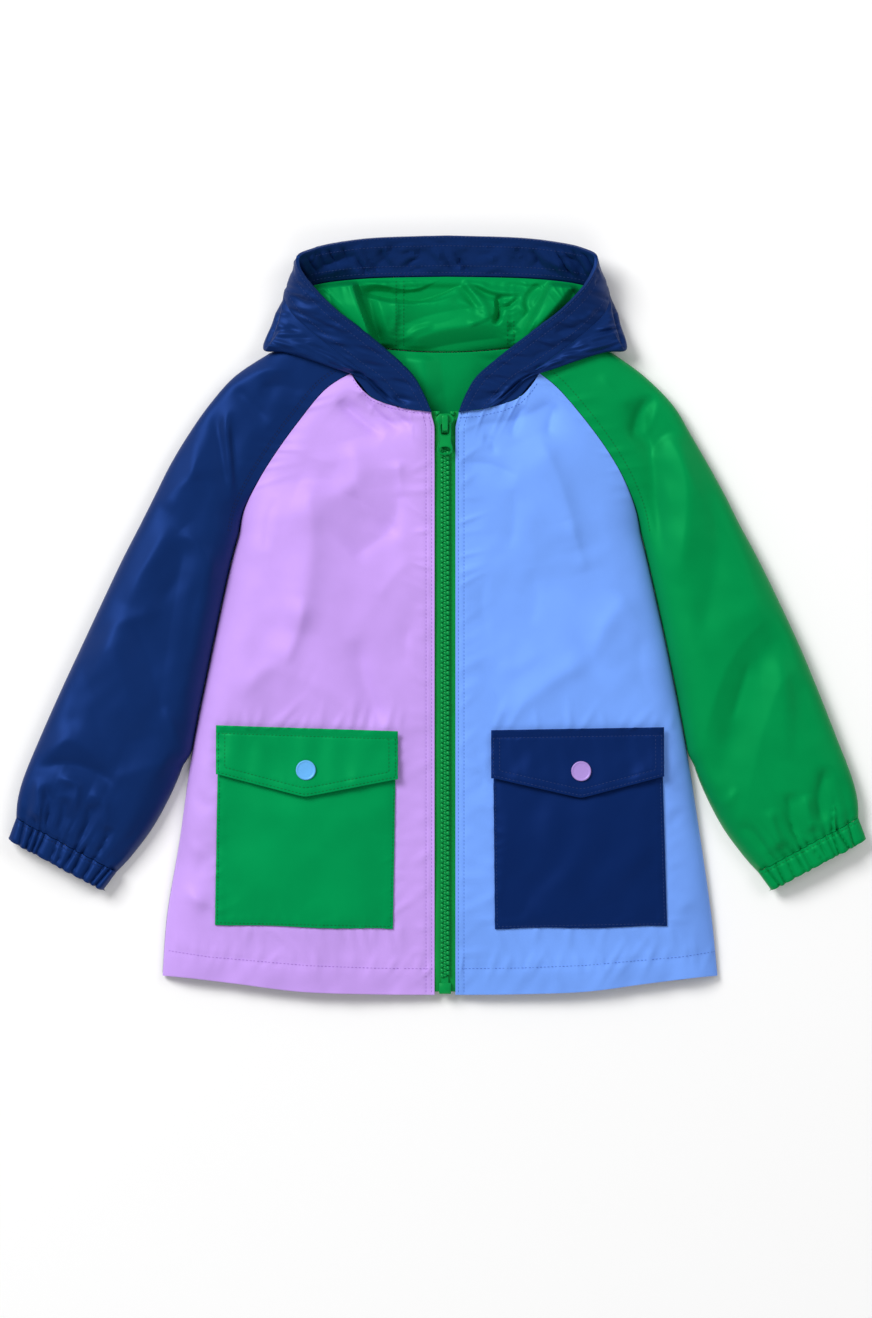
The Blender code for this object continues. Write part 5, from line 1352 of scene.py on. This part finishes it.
zip_plastic = moulded_plastic("zip plastic", (0, 144, 68))
TEETH, tree_inputs, placed_teeth = row_tree("row of teeth", ("tooth", "Object"))
one_tooth = add_node(TEETH, "GeometryNodeObjectInfo", Object=(tree_inputs, "tooth"))
wire(TEETH, (one_tooth, "Geometry", placed_teeth, "Instance"))
teeth = []
for side in SIDES:
    bm = bmesh.new()
    rounded_block(bm, (side * 1.0, -1.4, 0), (side * 3.1, 1.4, CHAIN_WALL), 0.35, 1)
    rounded_block(bm, (side * 1.2, -0.8, 0.2), (-side * 1.1, 0.8, CHAIN_WALL - 0.5), 0.25, 1)
    tooth = new_object("tooth", mesh_of(bm, "tooth", MOULDED_EDGE))
    start = HEM_AT_ZIP + 13.6 + (TOOTH_PITCH / 2 if side == LEFT else 0)
    ys = np.linspace(start, start + TOOTH_PITCH * (TEETH_A_SIDE - 0.98), 120)
    line = np.stack([0 * ys, ys, tape_top(ys) + 2 * SEAM], -1)
    teeth.append(made_by(TEETH, line_object([line]), tooth=tooth, pitch=TOOTH_PITCH * MM,
                         material=zip_plastic))
    bpy.data.objects.remove(tooth, do_unlink=True)
bm = bmesh.new()
for mesh in teeth:
    bm.from_mesh(mesh)
finished("zip_teeth", mesh_of(bm, "zip_teeth", MOULDED_EDGE), zip_plastic, ["zip_chain"])


# Zip ends: a moulded box and pin that the zip opens from at the foot, and a stop moulded on each
# tape at the top.

bm = bmesh.new()
foot = HEM_AT_ZIP + 0.7
floor = float(tape_top(np.array([foot + 7.7]))[0]) + SEAM
rounded_block(bm, (-4.2, foot, floor), (4.2, foot + 7.7, floor + 2.3), 0.5)
rounded_block(bm, (-2.6, foot + 7.2, floor), (2.5, foot + 12.4, floor + 1.9), 0.3)
rounded_block(bm, (-3.5, foot + 0.7, floor + 1.9), (3.5, foot + 7.0, floor + 2.5), 0.3)
finished("zip_box_moulding", mesh_of(bm, "zip_box", MOULDED_EDGE), zip_plastic, ["zip_box"])
for side in SIDES:
    bm = bmesh.new()
    low = float(tape_top(np.array([142.0]))[0]) + SEAM
    rounded_block(bm, (side * 3.7, 140.4, low), (side * 6.6, 143.3, low + CHAIN_WALL - 0.4), 0.5)
    rounded_block(bm, (side * 4.3, 140.9, low + 1.2), (side * 6.0, 142.7, low + CHAIN_WALL), 0.3)
    finished(f"zip_stop_{SIDES[side]}_moulding", mesh_of(bm, "zip_stop", MOULDED_EDGE), zip_plastic,
             ["zip_stop_" + SIDES[side]])


# Slider: two plates joined by a nose, with side flanges that close the teeth and a bridge over the
# top plate that holds the pull.

SLIDER_FOOT, SLIDER_HEAD = 128.2, 141.6


def closed_lines(name, lines, **settings):
    """The plain mesh of a curve through closed lines (x, y)."""
    curve = bpy.data.curves.new(name, "CURVE")
    curve.bevel_resolution = 2
    for setting, value in settings.items():
        setattr(curve, setting, value)
    for line in lines:
        spline = curve.splines.new("POLY")
        spline.points.add(len(line) - 1)
        for point, (x, y) in zip(spline.points, line):
            point.co = (x * MM, y * MM, 0, 1)
        spline.use_cyclic_u = True
    return plain_mesh(new_object(name, curve))


def plate_mesh(outlines, low, high, soft):
    """A moulded plate from its outline and its holes (x, y), with rounded edges."""
    mesh = closed_lines("plate", outlines, dimensions="2D", fill_mode="BOTH", bevel_depth=soft * MM,
                        extrude=((high - low) / 2 - soft) * MM, offset=-soft * MM)
    bm = bmesh.new()
    bm.from_mesh(mesh)
    bmesh.ops.remove_doubles(bm, verts=bm.verts, dist=1e-6)
    bmesh.ops.translate(bm, verts=bm.verts, vec=Vector((0, 0, (low + high) / 2)) * MM)
    bm.to_mesh(mesh)
    bm.free()
    return mesh


def rounded_outline(points, steps=6):
    """A closed smooth outline through its points."""
    points = list(points)
    wrapped = points[-2:] + points + points[:2]
    places = np.linspace(2, 2 + len(points), len(points) * steps, endpoint=False)
    return [tuple(p) for p in through(wrapped, places)]


def bar_mesh(path, width, thick, soft):
    """A bar of rounded section swept along a path in the YZ plane, closed at its ends."""
    path = np.asarray(path, float)
    along = np.gradient(path, axis=0)
    along /= np.hypot(*along.T)[:, None]
    w, t = width / 2 - soft, thick / 2 - soft
    section = [(cx * w + soft * math.cos(a), cz * t + soft * math.sin(a))
               for cx, cz, start in ((1, 1, 0), (-1, 1, 90), (-1, -1, 180), (1, -1, 270))
               for a in np.radians([start, start + 30, start + 60, start + 90])]
    bm = bmesh.new()
    rings = []
    for (y, z), (dy, dz) in zip(path, along):
        rings.append([bm.verts.new(Vector((x, y - dz * h, z + dy * h)) * MM) for x, h in section])
    for a, b in zip(rings, rings[1:]):
        for i in range(len(section)):
            bm.faces.new((a[i - 1], a[i], b[i], b[i - 1]))
    for ring in (rings[0], rings[-1]):
        bm.faces.new(ring)
    return bm


chain_top = float(tape_top(np.array([SLIDER_FOOT]))[0]) + 2 * SEAM + CHAIN_WALL
under = float(tape_top(np.array([SLIDER_FOOT]))[0]) - TAPE_WALL - SEAM
plate_low, plate_high = chain_top + SEAM, chain_top + SEAM + 1.3
half = [(3.9, SLIDER_FOOT), (4.1, 130.6), (4.3, 133.4), (5.2, 135.4), (6.1, 136.6), (6.35, 138.2),
        (5.6, 139.4), (3.6, SLIDER_HEAD - 0.2), (1.4, SLIDER_HEAD)]
outline = half + [(-x, y) for x, y in reversed(half)]
bm = bmesh.new()
for low, high in ((plate_low, plate_high), (under - 1.2, under)):
    bm.from_mesh(plate_mesh([outline], low, high, 0.35))
rounded_block(bm, (-1.2, 139.0, under - 0.2), (1.2, 141.4, plate_low + 0.2), 0.2)
for side in SIDES:
    rounded_block(bm, (side * 3.5, 128.4, plate_low - 1.4), (side * 4.1, 133.2, plate_low + 0.2), 0.15)
top = plate_low + 5.0
bridge = through([(140.2, plate_high - 0.3), (140.4, top - 1.9), (139.2, top - 0.8), (135.0, top - 0.72),
                  (131.0, top - 0.75), (129.6, top - 1.9), (129.5, plate_high - 0.3)], np.linspace(0, 6, 40))
arm = bar_mesh(bridge, 4.0, 1.45, 0.5)
part = bpy.data.meshes.new("bridge")
arm.to_mesh(part)
arm.free()
bm.from_mesh(part)
finished("zip_slider_moulding", mesh_of(bm, "zip_slider", MOULDED_EDGE), zip_plastic, ["zip_slider"])


# Pull tab: a moulded plate with a slot round the slider's bridge, a waist, and a ring with an oval
# eye at its end; every edge has a raised rim. It turns on its own top bar under the bridge.

PULL_AXIS_Y, PULL_WALL, RIM_RADIUS = 134.8, 1.3, 0.44
axis_z = plate_high + 1.05
half = [(3.6, 0.62), (4.35, -0.2), (4.45, -4.5), (4.35, -9.2), (4.2, -11.2), (4.35, -13.0), (4.85, -15.2),
        (5.35, -17.4), (5.25, -19.4), (4.2, -21.2), (2.2, -22.1)]
outline = rounded_outline([(-x, y) for x, y in half] + [(x, y) for x, y in reversed(half)], 4)
slot = rounded_outline([(-2.75, -0.9), (-2.75, -4.6), (-2.6, -7.6), (0, -8.35), (2.6, -7.6), (2.75, -4.6),
                        (2.75, -0.9), (0, -0.75)], 5)
eye = [(4.0 * math.cos(a), -18.75 + 2.25 * math.sin(a)) for a in np.linspace(0, math.tau, 36)[:-1]]
bm = bmesh.new()
bm.from_mesh(plate_mesh([outline, slot, eye], -0.42, 0.42, 0.2))
for line, inset in ((outline, -0.42), (eye, 0.42), (slot, 0.36)):
    x, y = np.array(line).T
    dx, dy = [np.roll(v, -1) - np.roll(v, 1) for v in (x, y)]
    length = np.hypot(dx, dy) * np.sign(np.sum(x * np.roll(y, -1) - y * np.roll(x, -1)))
    middle = np.stack([x + dy / length * inset, y - dx / length * inset], -1)
    rim_mesh = closed_lines("rim", [middle], dimensions="3D", bevel_depth=RIM_RADIUS * MM)
    for vert in rim_mesh.vertices:
        vert.co.z *= PULL_WALL / 2 / RIM_RADIUS
    bm.from_mesh(rim_mesh)
bmesh.ops.translate(bm, verts=bm.verts, vec=Vector((0, PULL_AXIS_Y, axis_z)) * MM)
finished("zip_pull_tab", mesh_of(bm, "zip_pull_tab", MOULDED_EDGE), zip_plastic, ["zip_pull"],
         body="pull_tab")

low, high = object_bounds()
